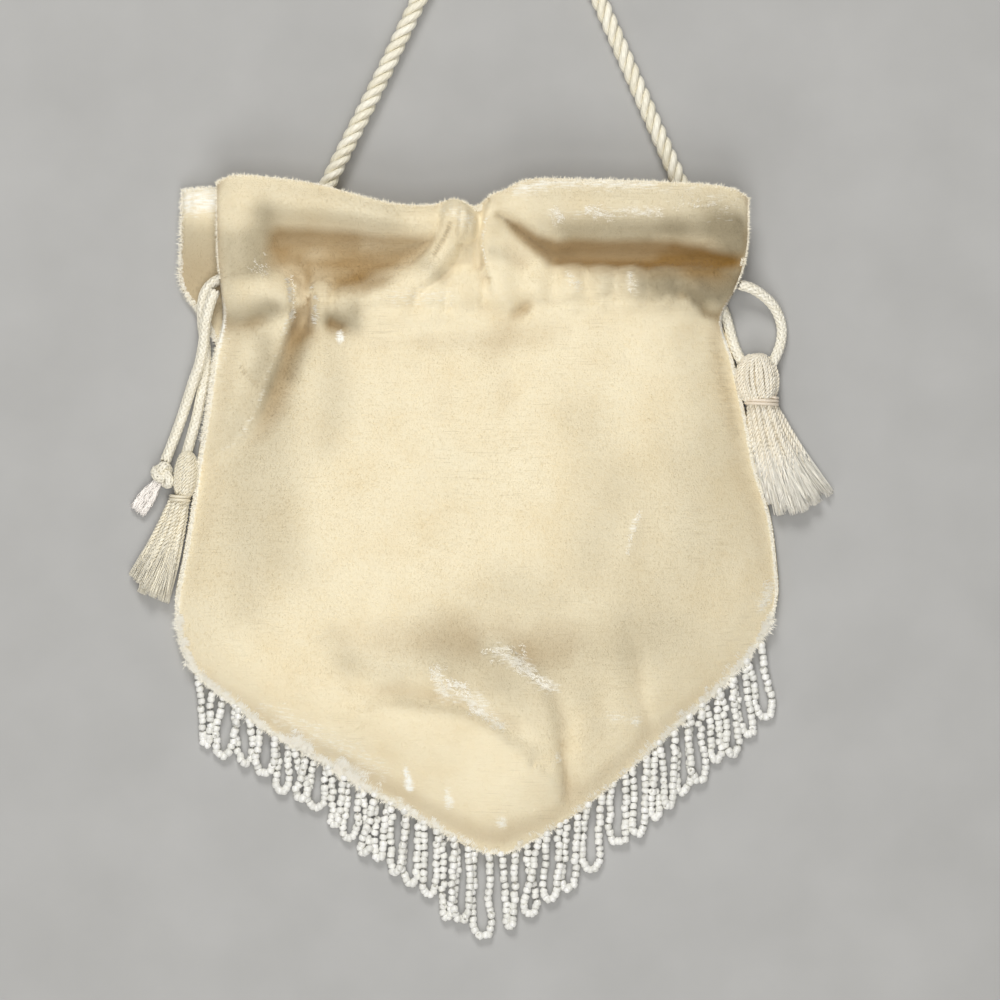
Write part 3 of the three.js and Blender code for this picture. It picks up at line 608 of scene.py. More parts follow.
# %% Folds of the gathers
CASING_EDGE = [
    (14.5, 161.8), (16.5, 163.6), (27.4, 164.2), (33.9, 164.5), (39.7, 166), (44.2, 165.2), (50.6, 164.8),
    (55, 165.4),
]
CASING_END = [(55, 165.4), (60, 166), (63.4, 165.8), (66.4, 163.6), (68.4, 161), (72, 159.8)]
GATHER_FOLDS = [
    (roll, [(-71, 164.8), (-62.4, 166.2)], 7.8, 7.8, 3.4),
    (ridge, [(-75, 157), (-68, 158.4), (-60, 161.4)], 2.2, 2.6, -2.4),
    (ridge, [(-51.6, 171.4), (-51.2, 165), (-51.6, 157)], 2.6, 3.4, -2.8),
    (grown_roll, [(-47.6, 154), (-46.2, 162), (-46, 167.4)], 3.3, 3.3, 2.8),
    (grown_roll, [(-40.4, 156.6), (-39.2, 161.4), (-38.8, 164.6)], 4.4, 4.6, 2.2),
    (ridge, [(-43.4, 158), (-40.8, 157)], 2.4, 2.4, -1.8),
    (ridge, [(-34, 159.4), (6, 159.8), (34, 159.4), (62, 159)], 5, 5, 1.3),
    (ridge, [(-30, 169), (-29, 160)], 3.4, 3.2, 0.7),
    (ridge, [(-22, 168), (-22.5, 160)], 3.2, 3.2, 0.6),
    (ridge, [(-13, 171), (-13, 161)], 3.8, 3.6, 0.9),
    (ridge, [(-4, 172), (-4.4, 163)], 3.4, 3.4, 1.1),
    (ridge, [(-8.4, 169), (-8.8, 162.6)], 1.6, 1.6, -0.9),
    (ridge, [(-17.6, 168), (-17.8, 162.6)], 1.6, 1.6, -0.8),
    (ridge, [(2.4, 171), (2.2, 163)], 1.7, 1.6, -1.0),
    (ridge, [(8.4, 174), (8, 166)], 3.2, 3.2, 1.1),
    (ridge, [(14.4, 163.8), (12, 160.8)], 2.2, 2.4, -1.3),
    (ridge, [(18, 174), (18, 165)], 3.4, 3.0, 1.2),
    (ridge, [(28.4, 173.6), (28, 165)], 3.6, 3.4, 1.4),
    (ridge, [(36.8, 173.6), (36.4, 166)], 3.4, 3.2, 1.0),
    (ridge, [(46, 173.6), (46, 165)], 3.4, 3.4, 1.4),
    (ridge, [(54.6, 173), (55, 165)], 3.6, 3.4, 1.0),
    (ridge, [(64, 172.6), (65, 165)], 3.6, 3.6, 0.9),
    (ridge, [(23.2, 172.4), (22.8, 167.4)], 2.0, 2.2, -0.8),
    (ridge, [(32.6, 172.4), (32.8, 167.4)], 2.2, 2.0, -1.0),
    (ridge, [(41.4, 172), (41.2, 167.4)], 2.0, 2.0, -0.8),
    (ridge, [(50.4, 172), (50.8, 167.6)], 2.2, 2.0, -0.9),
    (ridge, [(59.6, 171), (60, 167.6)], 2.2, 2.2, -0.7),
    (ridge, CASING_EDGE, 2.4, 1.4, -1.3),
    (tapered, CASING_END, 2.0, 1.3, -3.4),
    (ridge, [(-36, 161.4), (-24, 162), (-10, 162.2), (6, 161)], 2.2, 1.8, -0.7),
    (roll, [(65, 166.6), (70, 163.8)], 3.6, 3.6, 1.6),
]
print(len(GATHER_FOLDS), "folds on the gathers")

# %% [markdown]
# The header leans forward over the gathers. On the left it hollows out below its lip, up to a thick rolled
# pleat. On the right a flap of it starts at a clean edge and overhangs a long deep crease.

# %% Folds of the header
PLEAT = [(-24, 167.4), (-20.4, 169), (-15.6, 172.6), (-11.7, 176.1), (-8.8, 180.3), (-7, 185), (-6, 190)]
HOLLOW = [
    (-63.4, 184.5), (-64, 179), (-62, 172), (-60, 167), (-48, 164), (-36, 164.6), (-30, 168.4),
    (-24, 173), (-18, 177.6), (-13.4, 182.4), (-23, 185), (-36, 187.2), (-49, 188.6), (-59.8, 188.8),
]
CREASE = [
    (7, 189.4), (12.6, 187), (17.8, 183.4), (24, 181.6), (31.3, 181.4), (44.2, 181.6), (57, 181.2),
    (66.7, 180), (80, 178), (80, 173.8), (69.9, 174.8), (60.3, 174.6), (50.6, 173.8), (41, 174.4),
    (31.3, 175.2), (22.3, 176), (16.6, 180.4), (11.4, 185),
]
UNDER_LIP = [(-61, 185), (-61, 180), (-50, 180), (-20, 179), (-17, 182), (-36, 185.4), (-49, 186.4)]
HEADER_FOLDS = [
    (pocket, HOLLOW, 3.4, 6.5, -4.6),
    (pocket, UNDER_LIP, 3, 3, -1.2),
    (grown_roll, PLEAT, 4.4, 4.2, 3.4),
    (roll, [(-2.0, 192), (-2.4, 188), (-2.8, 184.4)], 3.3, 3.3, 3.2),
    (ridge, [(-16, 167.6), (-10.4, 172), (-5.4, 177.6), (-3.2, 181)], 1.6, 2.4, -1.0),
    (ridge, [(0.6, 190), (0.4, 183), (1.2, 174.8)], 1.8, 1.6, -1.5),
    (ridge, [(3.4, 173.8), (2.2, 182), (3.4, 190.6)], 1.5, 6.0, 2.4),
    (pocket, CREASE, 2.4, 3.0, -5.4),
    (ridge, [(30, 182), (48, 182), (66, 181)], 5, 4, -1.6),
    (ridge, [(19, 190.2), (36, 190.6), (56, 190), (76, 188)], 5, 5, 1.5),
    (ridge, [(60, 192), (62, 184), (63, 179)], 6, 6, 0.6),
    (ridge, [(-70, 194), (-45, 193), (-28, 190)], 6, 5, 1.5),
    (ridge, [(-73, 186), (-71, 176)], 5, 5, 0.8),
]
print(len(HEADER_FOLDS), "folds on the header")

# %% [markdown]
# All folds are added to the puffed form, with a little unevenness, as in any used cloth. They fade out
# towards the seams, which draw the cloth down.

# %% Height of the front
RIM_DRAW = 0.9
RIM_SOFTNESS = 7.0
RIM_OPENS = (150, 164)
BODY_SHARPNESS = 8
HEADER_SHARPNESS = 18
SHARPENS = (160, 172)
TIP_RUN = 12
SEAM_POINTS = 60
SIDE_POINTS = 50
UNEVENNESS = {"height": [0.4, 0.15, 0.05], "size": [16, 6, 2.4], "seed": [11, 12, 13]}


def rim_distance(x, y):
    """Distance from the fringe seam and from the two side edges."""
    share = np.linspace(0, 1, SIDE_POINTS)
    seam_away = line_distance(x, y, seam_curve(SEAM_POINTS))[0]
    left_away = line_distance(x, y, side_curve("left", share))[0]
    right_away = line_distance(x, y, side_curve("right", share))[0]
    return seam_away, np.minimum(left_away, right_away)


def front_height(x, y):
    """Height of the front with all its folds, drawn down a little along its seams."""
    left, right, edge = (column(FRONT_ROWS, "y", key, y) for key in ("left", "right", "edge"))
    sharpness = BODY_SHARPNESS + (HEADER_SHARPNESS - BODY_SHARPNESS) * smoothstep(y, *SHARPENS)
    outwards = np.clip(np.abs(2 * x - left - right) / (right - left), 0, 1)
    inside = (1 - outwards**sharpness) * np.clip(y / TIP_RUN, 0, 1)
    folds = np.zeros(x.shape)
    for tool, points, left_width, right_width, height in BODY_FOLDS + GATHER_FOLDS + HEADER_FOLDS:
        folds = folds + tool(x, y, points, left_width, right_width, height)
    for height, size, seed in zip(*UNEVENNESS.values()):
        folds = folds + height * mottle(x, y, size, seed)
    height = pillow(x, y) + folds * inside
    rise = 1 - RIM_DRAW * np.exp(-np.minimum(*rim_distance(x, y)) / RIM_SOFTNESS)
    rise = rise + (1 - rise) * smoothstep(y, *RIM_OPENS)
    return edge + (height - edge) * rise


print("folds in all:", len(BODY_FOLDS + GATHER_FOLDS + HEADER_FOLDS))

# %% [markdown]
# A velvet sheet starts as a plain grid with its own UV map. Its points are moved to their places, and a
# Solidify modifier gives the cloth its thickness on the inner side, so the outside stays as measured. Three
# values stay on the points for the finish: how much shade is painted into a fold, how far its pile is
# crushed, which also paints it pale as a highlight, and how much dull shade is painted on its nap.

# %% Velvet sheet helpers
CLOTH = 2.0


def blurred(values, cells):
    """Values of a grid averaged over a square of cells, three times over."""
    for axis in (0, 1, 0, 1, 0, 1):
        before, after = values.take([0] * cells, axis), values.take([-1] * cells, axis)
        padded = np.concatenate([before, values, after], axis)
        total = np.cumsum(padded, axis)
        total = np.concatenate([np.zeros_like(total.take([0], axis)), total], axis)
        width = 2 * cells + 1
        size = values.shape[axis]
        values = (total.take(range(width, width + size), axis) - total.take(range(size), axis)) / width
    return values


def velvet_sheet(name, points, marks):
    """A sheet of cloth through a grid of points, thickened on its under side."""
    rows, columns = points.shape[:2]
    bpy.ops.mesh.primitive_grid_add(x_subdivisions=columns - 1, y_subdivisions=rows - 1, size=1)
    sheet = bpy.context.object
    sheet.name = name
    sheet.data.name = name
    assert len(sheet.data.vertices) == rows * columns
    sheet.data.vertices.foreach_set("co", in_frame(points).astype(np.float32).reshape(-1))
    keep_marks(sheet.data, marks)
    sheet.data.update()
    area = sum(face.area for face in sheet.data.polygons)
    solid = sheet.modifiers.new("cloth thickness", "SOLIDIFY")
    solid.thickness = CLOTH * MM
    solid.offset = -1
    bpy.ops.object.modifier_apply(modifier=solid.name)
    bpy.ops.object.shade_smooth()
    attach(sheet, "root")
    sheet.data.calc_loop_triangles()
    triangles = len(sheet.data.loop_triangles)
    print(name, "has", triangles, "triangles and", round(area * 1e4), "square cm of cloth")
    return sheet, area


# %% [markdown]
# Crushed pile looks bright and streaky: its brightness is painted into the colour as a pale highlight, and it
# is made glossy as well. It follows the fringe seam, where the cloth was pressed to sew it, the turned side
# edges, and a few folds that were squeezed in use. The same painted highlight also lightens the header's top
# and a few other places that catch the light. Each crushed fold is a line, a width and a strength, and so is
# each glint, a small smooth painted highlight where the pile lies flat.

# %% Crushed pile and painted highlights
# Painted highlights: crushed folds and lit bands, painted pale.
CRUSHED_HIGHLIGHTS = [
    ([(48.3, 101.6), (46, 96), (44.4, 90)], 1.6, 0.5),
    ([(6.4, 60.4), (14, 56.4), (22, 50)], 3.4, 0.6),
    ([(-11.7, 54.4), (-9.4, 48.7), (-0.4, 46.3), (7, 38.3)], 3.2, 0.6),
    ([(22, 190), (34, 190.2), (53, 190.4)], 2.6, 0.4),
    ([(14, 196.6), (24, 199), (46, 198.6), (66, 197), (76, 193)], 3.6, 0.42),
    ([(60, 193), (74, 190)], 5, 0.3),
    ([(27, 172), (31, 168)], 2.8, 0.42),
    ([(45.6, 173), (46.2, 167)], 2.4, 0.45),
    ([(84.6, 74), (88.4, 81)], 2.6, 0.6),
    ([(-75, 153), (-76.2, 142)], 3, 0.38),
    ([(-54.4, 35), (-49.6, 31.8)], 2.4, 0.75),
    ([(-40.6, 27.2), (-34, 22.8)], 2.8, 0.8),
    ([(-24, 16.6), (-19, 13.6)], 2, 0.65),
    (LOBE_LIP, 1.4, 0.42),
    (PLEAT, 1.8, 0.3),
]
# Painted highlights: smooth pale spots and bands where flat pile catches the light.
PAINTED_GLINTS = [
    ([(-40.5, 154.4), (-40.3, 153)], 1.35, 0.85),
    ([(-20.9, 25.8), (-20.4, 23)], 1.1, 0.78),
    ([(-20.3, 22.4), (-19.8, 20)], 1.5, 0.86),
    ([(-8.6, 19.2), (-8.2, 17)], 1.1, 0.6),
    ([(-8.2, 16.6), (-8, 15)], 1.7, 0.68),
    ([(7.2, 10.2), (7.8, 9.4)], 1.9, 0.62),
    ([(24, 29.8), (24.6, 28.4)], 1.3, 0.5),
    ([(-8, 191), (-3, 188)], 4, 0.36),
    ([(-26, 165.6), (-8, 165.4)], 4, 0.34),
    ([(-62, 43), (-44, 34.6), (-28, 25)], 5, 0.34),
    ([(12, 197), (20, 199), (34, 199.4), (52, 198.6)], 2.2, 0.5),
    ([(46.8, 40.2), (47.8, 39.4)], 1.7, 0.55),
    ([(40, 41.6), (44, 41)], 2.6, 0.36),
]
# Painted highlight along the fringe seam and the side edges, where the pile is seen edge on.
SEAM_SHINE = {"x": [-90, -58, -30, -10, 2, 24, 48, 56, 90], "share": [1, 1, 1, 0.8, 0.4, 0.4, 0.45, 0.9, 1]}
SEAM_RIM = 1.9
LEFT_RIM = 1.4
RIGHT_RIM = 0.9
SIDE_SHINE = 0.9
HEADER_DULLING = 0.6
PATCH_SIZE = 2.6
STREAK_SIZE = 2.4
EDGE_WIDTH = 5


def near_line(x, y, points, width):
    """1 on a line of points, fading out over a width beside it."""
    return np.exp(-((line_distance(x, y, points)[0] / width) ** 2))


def crushed_pile_and_highlight(x, y):
    """How far the front's pile is crushed and painted pale as a highlight at a point, from 0 to 1, and how
    near an edge the point is.
    """
    away, beside = rim_distance(x, y)
    patches = 0.5 + 0.5 * mottle(x, y, PATCH_SIZE, 21)
    streaks = 0.5 + 0.5 * mottle(x + y, 3 * (x - y), STREAK_SIZE, 22)
    shine = np.interp(x, SEAM_SHINE["x"], SEAM_SHINE["share"])
    crush_and_highlight = shine * np.exp(-((away / SEAM_RIM) ** 2)) * (0.6 + 0.4 * streaks)
    side_rim = np.where(x < 0, LEFT_RIM, RIGHT_RIM)
    side_shine = SIDE_SHINE - HEADER_DULLING * smoothstep(y, 158, 170)
    crush_and_highlight = np.maximum(crush_and_highlight, side_shine * np.exp(-((beside / side_rim) ** 2)))
    for points, width, strength in CRUSHED_HIGHLIGHTS:
        crush_and_highlight = np.maximum(crush_and_highlight, strength * near_line(x, y, points, width) * (0.4 + 0.6 * patches))
    for points, width, strength in PAINTED_GLINTS:
        crush_and_highlight = np.maximum(crush_and_highlight, strength * near_line(x, y, points, width))
    near = np.exp(-((np.minimum(away, beside) / EDGE_WIDTH) ** 2))
    return np.clip(crush_and_highlight, 0, 1), near * (1 - smoothstep(y, 150, 160))


front_x, front_y = front_grid[..., 0], front_grid[..., 1]
front_z = front_height(front_x, front_y)
front_crush_and_highlight, near_edge = crushed_pile_and_highlight(front_x, front_y)
print(len(CRUSHED_HIGHLIGHTS), "crushed folds and", len(PAINTED_GLINTS), "glints")

# %% [markdown]
# Pile that was stroked away from the light looks dull and tan, although its colour is the same. Here that
# look is painted into the colour as shade, and so are the shadows below some lips, pleats and the puff. Each
# painted place is again a line, a width and a strength, and all are added up. Both sides of the bag are
# painted darker as well, where they turn from the light.

# %% Painted shade of the nap
PAINTED_DULL_SHADE = [
    ([(-60, 130), (-58, 112), (-57, 88)], 9, 0.45),
    ([(-70, 124), (-70, 100), (-68, 74)], 7, 0.38),
    ([(-8, 60), (2, 57), (24, 58), (44, 64)], 12, 0.75),
    ([(1, 62.4), (6, 60)], 4, 0.3),
    ([(34, 90), (44, 84)], 9, 0.3),
    ([(2, 77), (20, 75)], 7, 0.25),
    ([(36, 126), (40, 108)], 9, 0.16),
    ([(-38, 57), (-24, 53)], 5, 0.35),
    ([(64, 116), (66, 98), (58, 70)], 14, 0.38),
    ([(44, 112), (48, 96)], 8, 0.25),
    ([(-64, 153), (-61.4, 143), (-64, 134)], 4.5, 0.5),
    ([(-54.6, 153), (-57.4, 146), (-60.6, 139)], 3.4, 0.7),
    ([(-51.4, 158), (-52.2, 150), (-55, 143)], 3.2, 0.9),
    ([(-43, 150), (-42, 136), (-44, 122)], 5.5, 0.42),
    ([(18, 193.6), (50, 194), (70, 193)], 6, 0.4),
    ([(54, 168), (74, 168)], 6, 0.95),
    ([(54, 171.4), (62, 171.6), (74, 171)], 4.5, 0.9),
    ([(67, 166.6), (72, 165)], 3.5, 0.7),
    ([(36, 170.6), (48, 169.6), (70, 170)], 3.4, 0.45),
    ([(78, 187), (78.4, 172)], 3, 1.0),
    ([(28, 182.6), (50, 182.8)], 2.4, 0.5),
    ([(69, 190), (76, 189)], 4, 0.35),
    (CASING_END[2:], 1.6, 0.9),
    (CASING_EDGE, 1.3, 0.25),
    ([(26, 185.4), (45, 185.8), (66, 184.6), (78, 182.6)], 3.6, 0.6),
    ([(20, 185), (40, 185.8), (60, 185.4)], 3.6, 0.5),
    ([(58, 186.6), (68, 186.6)], 5, 0.5),
    ([(74, 187), (74.6, 184), (75, 176)], 5.5, 1.2),
    ([(47.2, 60), (49.2, 44), (52, 34)], 2.2, 0.24),
    ([(-22, 45.6), (-3, 43.2), (5, 38.2), (12, 32.6), (20, 30.6)], 2.2, 0.26),
    ([(8, 50), (14, 44), (20, 38)], 5.5, 0.34),
    ([(33, 47), (35, 38)], 5, 0.35),
    ([(10, 82), (30, 82)], 8, 0.28),
    ([(-43, 64), (-38, 58)], 5, 0.3),
    ([(-62, 191), (-45, 190), (-26, 187.6)], 6, 0.5),
    ([(17, 55), (22.6, 47), (25.6, 38), (26.4, 24)], 2.4, 0.32),
    ([(30, 130), (32, 112), (36, 98)], 8, 0.2),
    ([(-67.6, 182.6), (-67, 174.8)], 4.2, 1.1),
    ([(-62.6, 190), (-62.6, 182), (-63, 175.6)], 4, 0.9),
    ([(-74, 182), (-73, 173.8)], 4, 0.85),
    ([(-72, 162), (-60, 163)], 4, 0.35),
    ([(-74, 157.8), (-68, 159), (-61, 161.8)], 3.8, 0.95),
    ([(-43.4, 160), (-37.6, 160.6)], 4.2, 0.9),
    ([(-43, 158), (-36, 156.6)], 2.8, 0.75),
    ([(-62, 152), (-63, 147), (-66, 143)], 3, 0.45),
    ([(-15, 175.6), (-10.6, 172)], 3, 0.6),
    ([(4.8, 178.6), (8, 178)], 2.6, 0.6),
    ([(-36, 164), (-35.4, 161)], 3, 0.3),
]
SIDE_PAINTED_SHADE = 0.15
DRIFT_DULLNESS = 0.08
DRIFT_SIZE = 18
DULLEST_PAINTED_SHADE = 1.8
# Painted shade: both sides are painted darker where they turn from the light, and a soft random drift of tone
# is added.
side_shade = smoothstep(np.abs(front_x), 40, 85) * smoothstep(front_y, 30, 60)
side_shade = side_shade * (1 - smoothstep(front_y, 150, 165))
front_painted_dull_shade = SIDE_PAINTED_SHADE * side_shade + DRIFT_DULLNESS * mottle(front_x, front_y, DRIFT_SIZE, 23)
for points, width, strength in PAINTED_DULL_SHADE:
    front_painted_dull_shade = front_painted_dull_shade + strength * near_line(front_x, front_y, points, width)
print(len(PAINTED_DULL_SHADE), "stroked places")

# %% [markdown]
# Painted shade: folds are painted darker and warmer towards their floors, where less light reaches. The
# depth is measured on the sheet itself, as how far a point lies below its surroundings, near and wide. A few
# outlines then paint deeper shade into the hollows that get the least light, and paint lighter some that get
# more.

# %% Painted shade of the folds
FOLD_SCALES = {"weight": [0.5, 0.6], "cells": [6, 16], "depth": [2.2, 4.0]}
COMMON_SHADE = 0.95
DEEPEST_SHADE = 1.45
UNDER_LOBE = [
    (-56, 179), (-36, 178.6), (-24, 175.6), (-21, 172.6), (-29, 167.6), (-36, 165.6), (-46, 167),
    (-49, 171),
]
# Painted shade: each outline paints deeper shade into a fold, or paints it lighter where its depth is below
# 0.
PAINTED_FOLD_POCKETS = [
    (HOLLOW, 2.5, 4, 0.12),
    (UNDER_LOBE, 2.5, 3, 0.2),
    ([(-42, 171.6), (-33, 172.4), (-24.6, 172), (-27, 168), (-33, 166.6), (-43, 167)], 2, 2, 0.45),
    ([(-36, 171.6), (-25, 172), (-27, 167.6), (-34, 166.8)], 2.4, 2.4, 0.2),
    ([(-61, 180), (-50, 180), (-50, 175), (-60, 175)], 2.5, 2.5, 0.25),
    ([(-34, 184), (-14, 182.6), (-19, 179), (-34, 180)], 2, 2, -0.3),
    ([(-60, 176), (-51, 176), (-50.4, 167), (-59, 168)], 2, 2, -0.3),
    ([(-55, 164), (-49, 164), (-49, 157), (-55, 157)], 1.5, 2, -0.2),
    ([(-30, 166.6), (8, 166.6), (8, 154), (-30, 154)], 3, 3, -0.25),
    ([(30, 163), (62, 163), (69, 158), (69, 148), (30, 150)], 3, 3, -0.4),
    (CREASE, 2.4, 3, 0.22),
    ([(24, 176), (58, 175.6), (72, 175.6), (72, 171.8), (48, 171.4), (26, 172.6)], 2.2, 2, 0.5),
    ([(56, 177), (68, 178.8), (77, 177), (73, 174), (63, 174.6)], 5, 4, 0.5),
    ([(58, 183.4), (70, 183), (73, 180), (58, 180.4)], 2, 2, 0.35),
    ([(60, 175.6), (76, 174.8), (77.4, 170), (71, 168), (63, 170)], 3, 3, 0.5),
    ([(-13, 172.4), (-11, 184), (-9, 193), (3, 193), (2.6, 173)], 2, 2.5, -0.7),
]
scales = zip(*FOLD_SCALES.values())
fold_shade = sum(weight * (blurred(front_z, cells) - front_z) / depth for weight, cells, depth in scales)
fold_shade = np.clip(fold_shade, 0, COMMON_SHADE)
for outline, outside, within, depth in PAINTED_FOLD_POCKETS:
    fold_shade = fold_shade + pocket(front_x, front_y, outline, outside, within, depth)
print("deepest shade:", round(float(fold_shade.max()), 2))

# %% [markdown]
# With its height and the three values known at every point, the front is made. Close to the seams the cloth
# lies open to the light, so the painted shade and the painted dullness fade out there.

# %% Velvet front
# Painted light: shade painted into the folds, a pale painted highlight on crushed pile and dull painted shade
# on the nap.
front_marks = {
    "painted_fold_shade": np.clip(fold_shade, 0, DEEPEST_SHADE) * (1 - near_edge),
    "crush_and_highlight": front_crush_and_highlight,
    "stroke": np.clip(front_painted_dull_shade, 0, DULLEST_PAINTED_SHADE) * (1 - near_edge),
}
front_points = np.stack([front_x, front_y, front_z], axis=-1)
velvet_front, front_area = velvet_sheet("velvet_front", front_points, front_marks)
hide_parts("front_panel")

# %% [markdown]
# The back is the same cut of velvet, lying flat on the surface. Its header opens out past the front's on
# the left, where it rises a little and rolls over at its top.

# %% Velvet back
BACK_ROWS = {
    "y": [152, 160, 169, 178, 198],
    "left": [-77.2, -81.8, -88, -88.2, -87.6],
    "right": [74.8, 72.4, 72.6, 75, 77],
}
BACK_HEADER_TOP = {"x": [-89, -76, -50, -20, 8, 30, 80], "y": [197.8, 198.4, 196, 190, 188, 195, 193.5]}
BACK_TOP = 198.0
SIDE_SEAM_TOP = 152.0
BACK_RIM = 3.3
FRINGE_RIM = 2.1
FLAP_LIFT = 3.6
FLAP_LIP = 194.6
FLAP_LIP_WIDTH = 5.4
# Painted highlight along the flap's lip, and painted shade below it.
FLAP_SHINE = 0.62
FLAP_SHADE = 0.5
BACK_CROWDING = 1.1


def back_grid(columns, rows):
    """Points of the back's upper face."""
    y = BACK_TOP * np.linspace(0, 1, rows) ** BACK_CROWDING
    flap = y > SIDE_SEAM_TOP
    left = np.where(flap, column(BACK_ROWS, "y", "left", y), column(FRONT_ROWS, "y", "left", y))
    right = np.where(flap, column(BACK_ROWS, "y", "right", y), column(FRONT_ROWS, "y", "right", y))
    across = np.linspace(0, 1, columns)
    x = left[:, None] + (right - left)[:, None] * across
    y = np.broadcast_to(y[:, None], x.shape)
    sewn = 1 - smoothstep(y, SIDE_SEAM_TOP, SIDE_SEAM_TOP + 10)
    rim = (FRINGE_RIM + (BACK_RIM - FRINGE_RIM) * smoothstep(y, 68, 80)) * sewn + CLOTH * (1 - sewn)
    middle = np.sqrt(1 - np.abs(2 * across - 1) ** 8) * np.clip(y / 6, 0, 1)
    lean = smoothstep(y, 168, 190) - 0.35 * smoothstep(y, 192, BACK_TOP)
    curl = 1 - 0.7 * smoothstep(-x, 83, 88.5)
    lift = FLAP_LIFT * smoothstep(-x, 66, 78) * lean * curl
    z = rim + (CLOTH - rim) * middle + lift
    top = column(BACK_HEADER_TOP, "x", "y", x) - BACK_TOP
    return np.stack([x, y + top * smoothstep(y, HEADER_BASE, BACK_TOP), z], axis=-1)


back_points = back_grid(columns=104, rows=112)
back_x, back_y = back_points[..., 0], back_points[..., 1]
above_casing = smoothstep(back_y, 150, 165)
lip = np.exp(-((np.abs(back_y - FLAP_LIP) / FLAP_LIP_WIDTH) ** 2))
# Painted light: shade painted on the back's header below its lip, dull painted shade on the flap below its
# lip, and a pale painted highlight along the lip.
back_marks = {
    "painted_fold_shade": FLAP_SHADE * smoothstep(190 - back_y, 0, 18) * above_casing,
    "crush_and_highlight": FLAP_SHINE * lip * smoothstep(-back_x, 70, 78),
    "stroke": smoothstep(192 - back_y, 0, 8) * (smoothstep(-back_x, 70, 77) * above_casing),
}
velvet_back, back_area = velvet_sheet("velvet_back", back_points, back_marks)
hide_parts("back_panel")

# %% [markdown]
# Velvet shows its pile wherever it is seen edge on: as a soft fringe round every free edge and as bright
# strokes along the pressed seam. A hair system could grow it, but a fibre that is itself a mesh keeps its
# place in every program. So each fibre is a thin bent blade, and all blades are joined in one mesh.

# %% Pile helper
PILE_WIDTH = 0.17
BLADE_POINTS = 5


def pile_blades(roots, reaches, rng):
    """Vertices and faces of thin blades that start at roots, reach a way and bend a little."""
    count = len(roots)
    length = np.linalg.norm(reaches, axis=1, keepdims=True)
    side = unit(np.cross(reaches, (0.0, 0.0, 1.0) + rng.normal(0, 0.3, (count, 3))))
    wide = side * (PILE_WIDTH * rng.uniform(0.7, 1.3, (count, 1))) / 2
    bend = rng.normal(0, 0.1, (count, 3)) * length
    middle = roots + 0.55 * reaches + 0.5 * bend + (0, 0, 0.06) * length
    tip = roots + reaches + bend * (1, 1, 0.3)
    points = np.stack([roots - wide, roots + wide, middle + 0.8 * wide, middle - 0.8 * wide, tip], axis=1)
    start = BLADE_POINTS * np.arange(count)[:, None]
    return points.reshape(-1, 3), start + np.array([[0, 1, 2, 3]]), start + np.array([[3, 2, 4]])


def pile_along(line, right_hand, count, length, spread, depth, rng):
    """Roots and reaches of blades along a line, pointing out on one side of it with a random spread."""
    run = run_along(line)
    at = rng.uniform(0, run[-1], count)
    root = points_at(at, run, line)
    out = unit(points_at(at, run, outward_of(line, right_hand)))
    root = root - out * (depth * rng.random((count, 1)))
    turn = rng.normal(0, spread, count)
    way_x = out[:, 0] * np.cos(turn) - out[:, 1] * np.sin(turn)
    way_y = out[:, 0] * np.sin(turn) + out[:, 1] * np.cos(turn)
    way = unit(np.stack([way_x, way_y, rng.normal(0.15, 0.25, count)], axis=1))
    return root, way * rng.uniform(*length, (count, 1))


def outward_of(line, right_hand=True):
    """Level directions square to a line, on its right or its left."""
    way = along(line[None])[0]
    out = np.stack([way[:, 1], -way[:, 0], np.zeros(len(way))], axis=1)
    return unit(out if right_hand else -out)


print("a pile fibre is", PILE_WIDTH, "mm wide")


# %% [markdown]
# The edges come first. Their lines are read off the two sheets, so the pile follows every turn of them.
# Each run is a line, whether its outside is on the right, a number of fibres, their lengths, their spread
# and their depth.

# %% Pile of the edges and seams
SEAM_PILE_LEVEL = 3.8
SIDE_PILE_LEVEL = 4.2
SIDE_PILE_END = 0.66
SIDE_SAMPLES = 80
SIDE_INSET = (0.3, 0)
TOP_INSET = (0, 0.2)
HEADER_EDGE_ROWS = 59
FLAP_EDGE_ROWS = 40
FLAP_EDGE_COLUMNS = 18
rng = np.random.default_rng(31)


def on_front(xy):
    """Points of the front's surface above places on the bag."""
    xy = np.asarray(xy, dtype=float)
    return np.column_stack([xy, front_height(xy[:, 0], xy[:, 1])])


seam = seam_curve(240)
seam_line = np.column_stack([seam, np.full(len(seam), SEAM_PILE_LEVEL)])
seam_out = outward_of(seam_line)
side_share = np.linspace(0, SIDE_PILE_END, SIDE_SAMPLES)
side_level = np.full(SIDE_SAMPLES, SIDE_PILE_LEVEL)
left_side = np.column_stack([side_curve("left", side_share), side_level])
right_side = np.column_stack([side_curve("right", side_share), side_level])
header_left = on_front(front_grid[-HEADER_EDGE_ROWS:, 0] + SIDE_INSET)
header_right = on_front(front_grid[-HEADER_EDGE_ROWS:, -1] - SIDE_INSET)
header_top = on_front(front_grid[-1] - TOP_INSET)
flap_left = back_points[-FLAP_EDGE_ROWS:, 0]
flap_top = back_points[-1, :FLAP_EDGE_COLUMNS]
pile_runs = [
    (seam_line, True, 3400, (0.4, 1.0), 0.5, 1.2),
    (left_side, False, 2800, (0.3, 0.8), 0.6, 1.2),
    (right_side, True, 1900, (0.25, 0.65), 0.6, 0.9),
    (flap_left, False, 1900, (0.7, 1.8), 0.45, 1.4),
    (flap_top, False, 700, (0.5, 1.3), 0.5, 1.2),
    (header_left, False, 1200, (0.3, 1.0), 0.5, 1.4),
    (header_right, True, 1500, (0.3, 1.1), 0.6, 1.4),
    (header_top, False, 6000, (0.3, 1.4), 0.5, 1.8),
]
batches = [pile_along(*run, rng) for run in pile_runs]
print(sum(len(batch[0]) for batch in batches), "edge fibres")

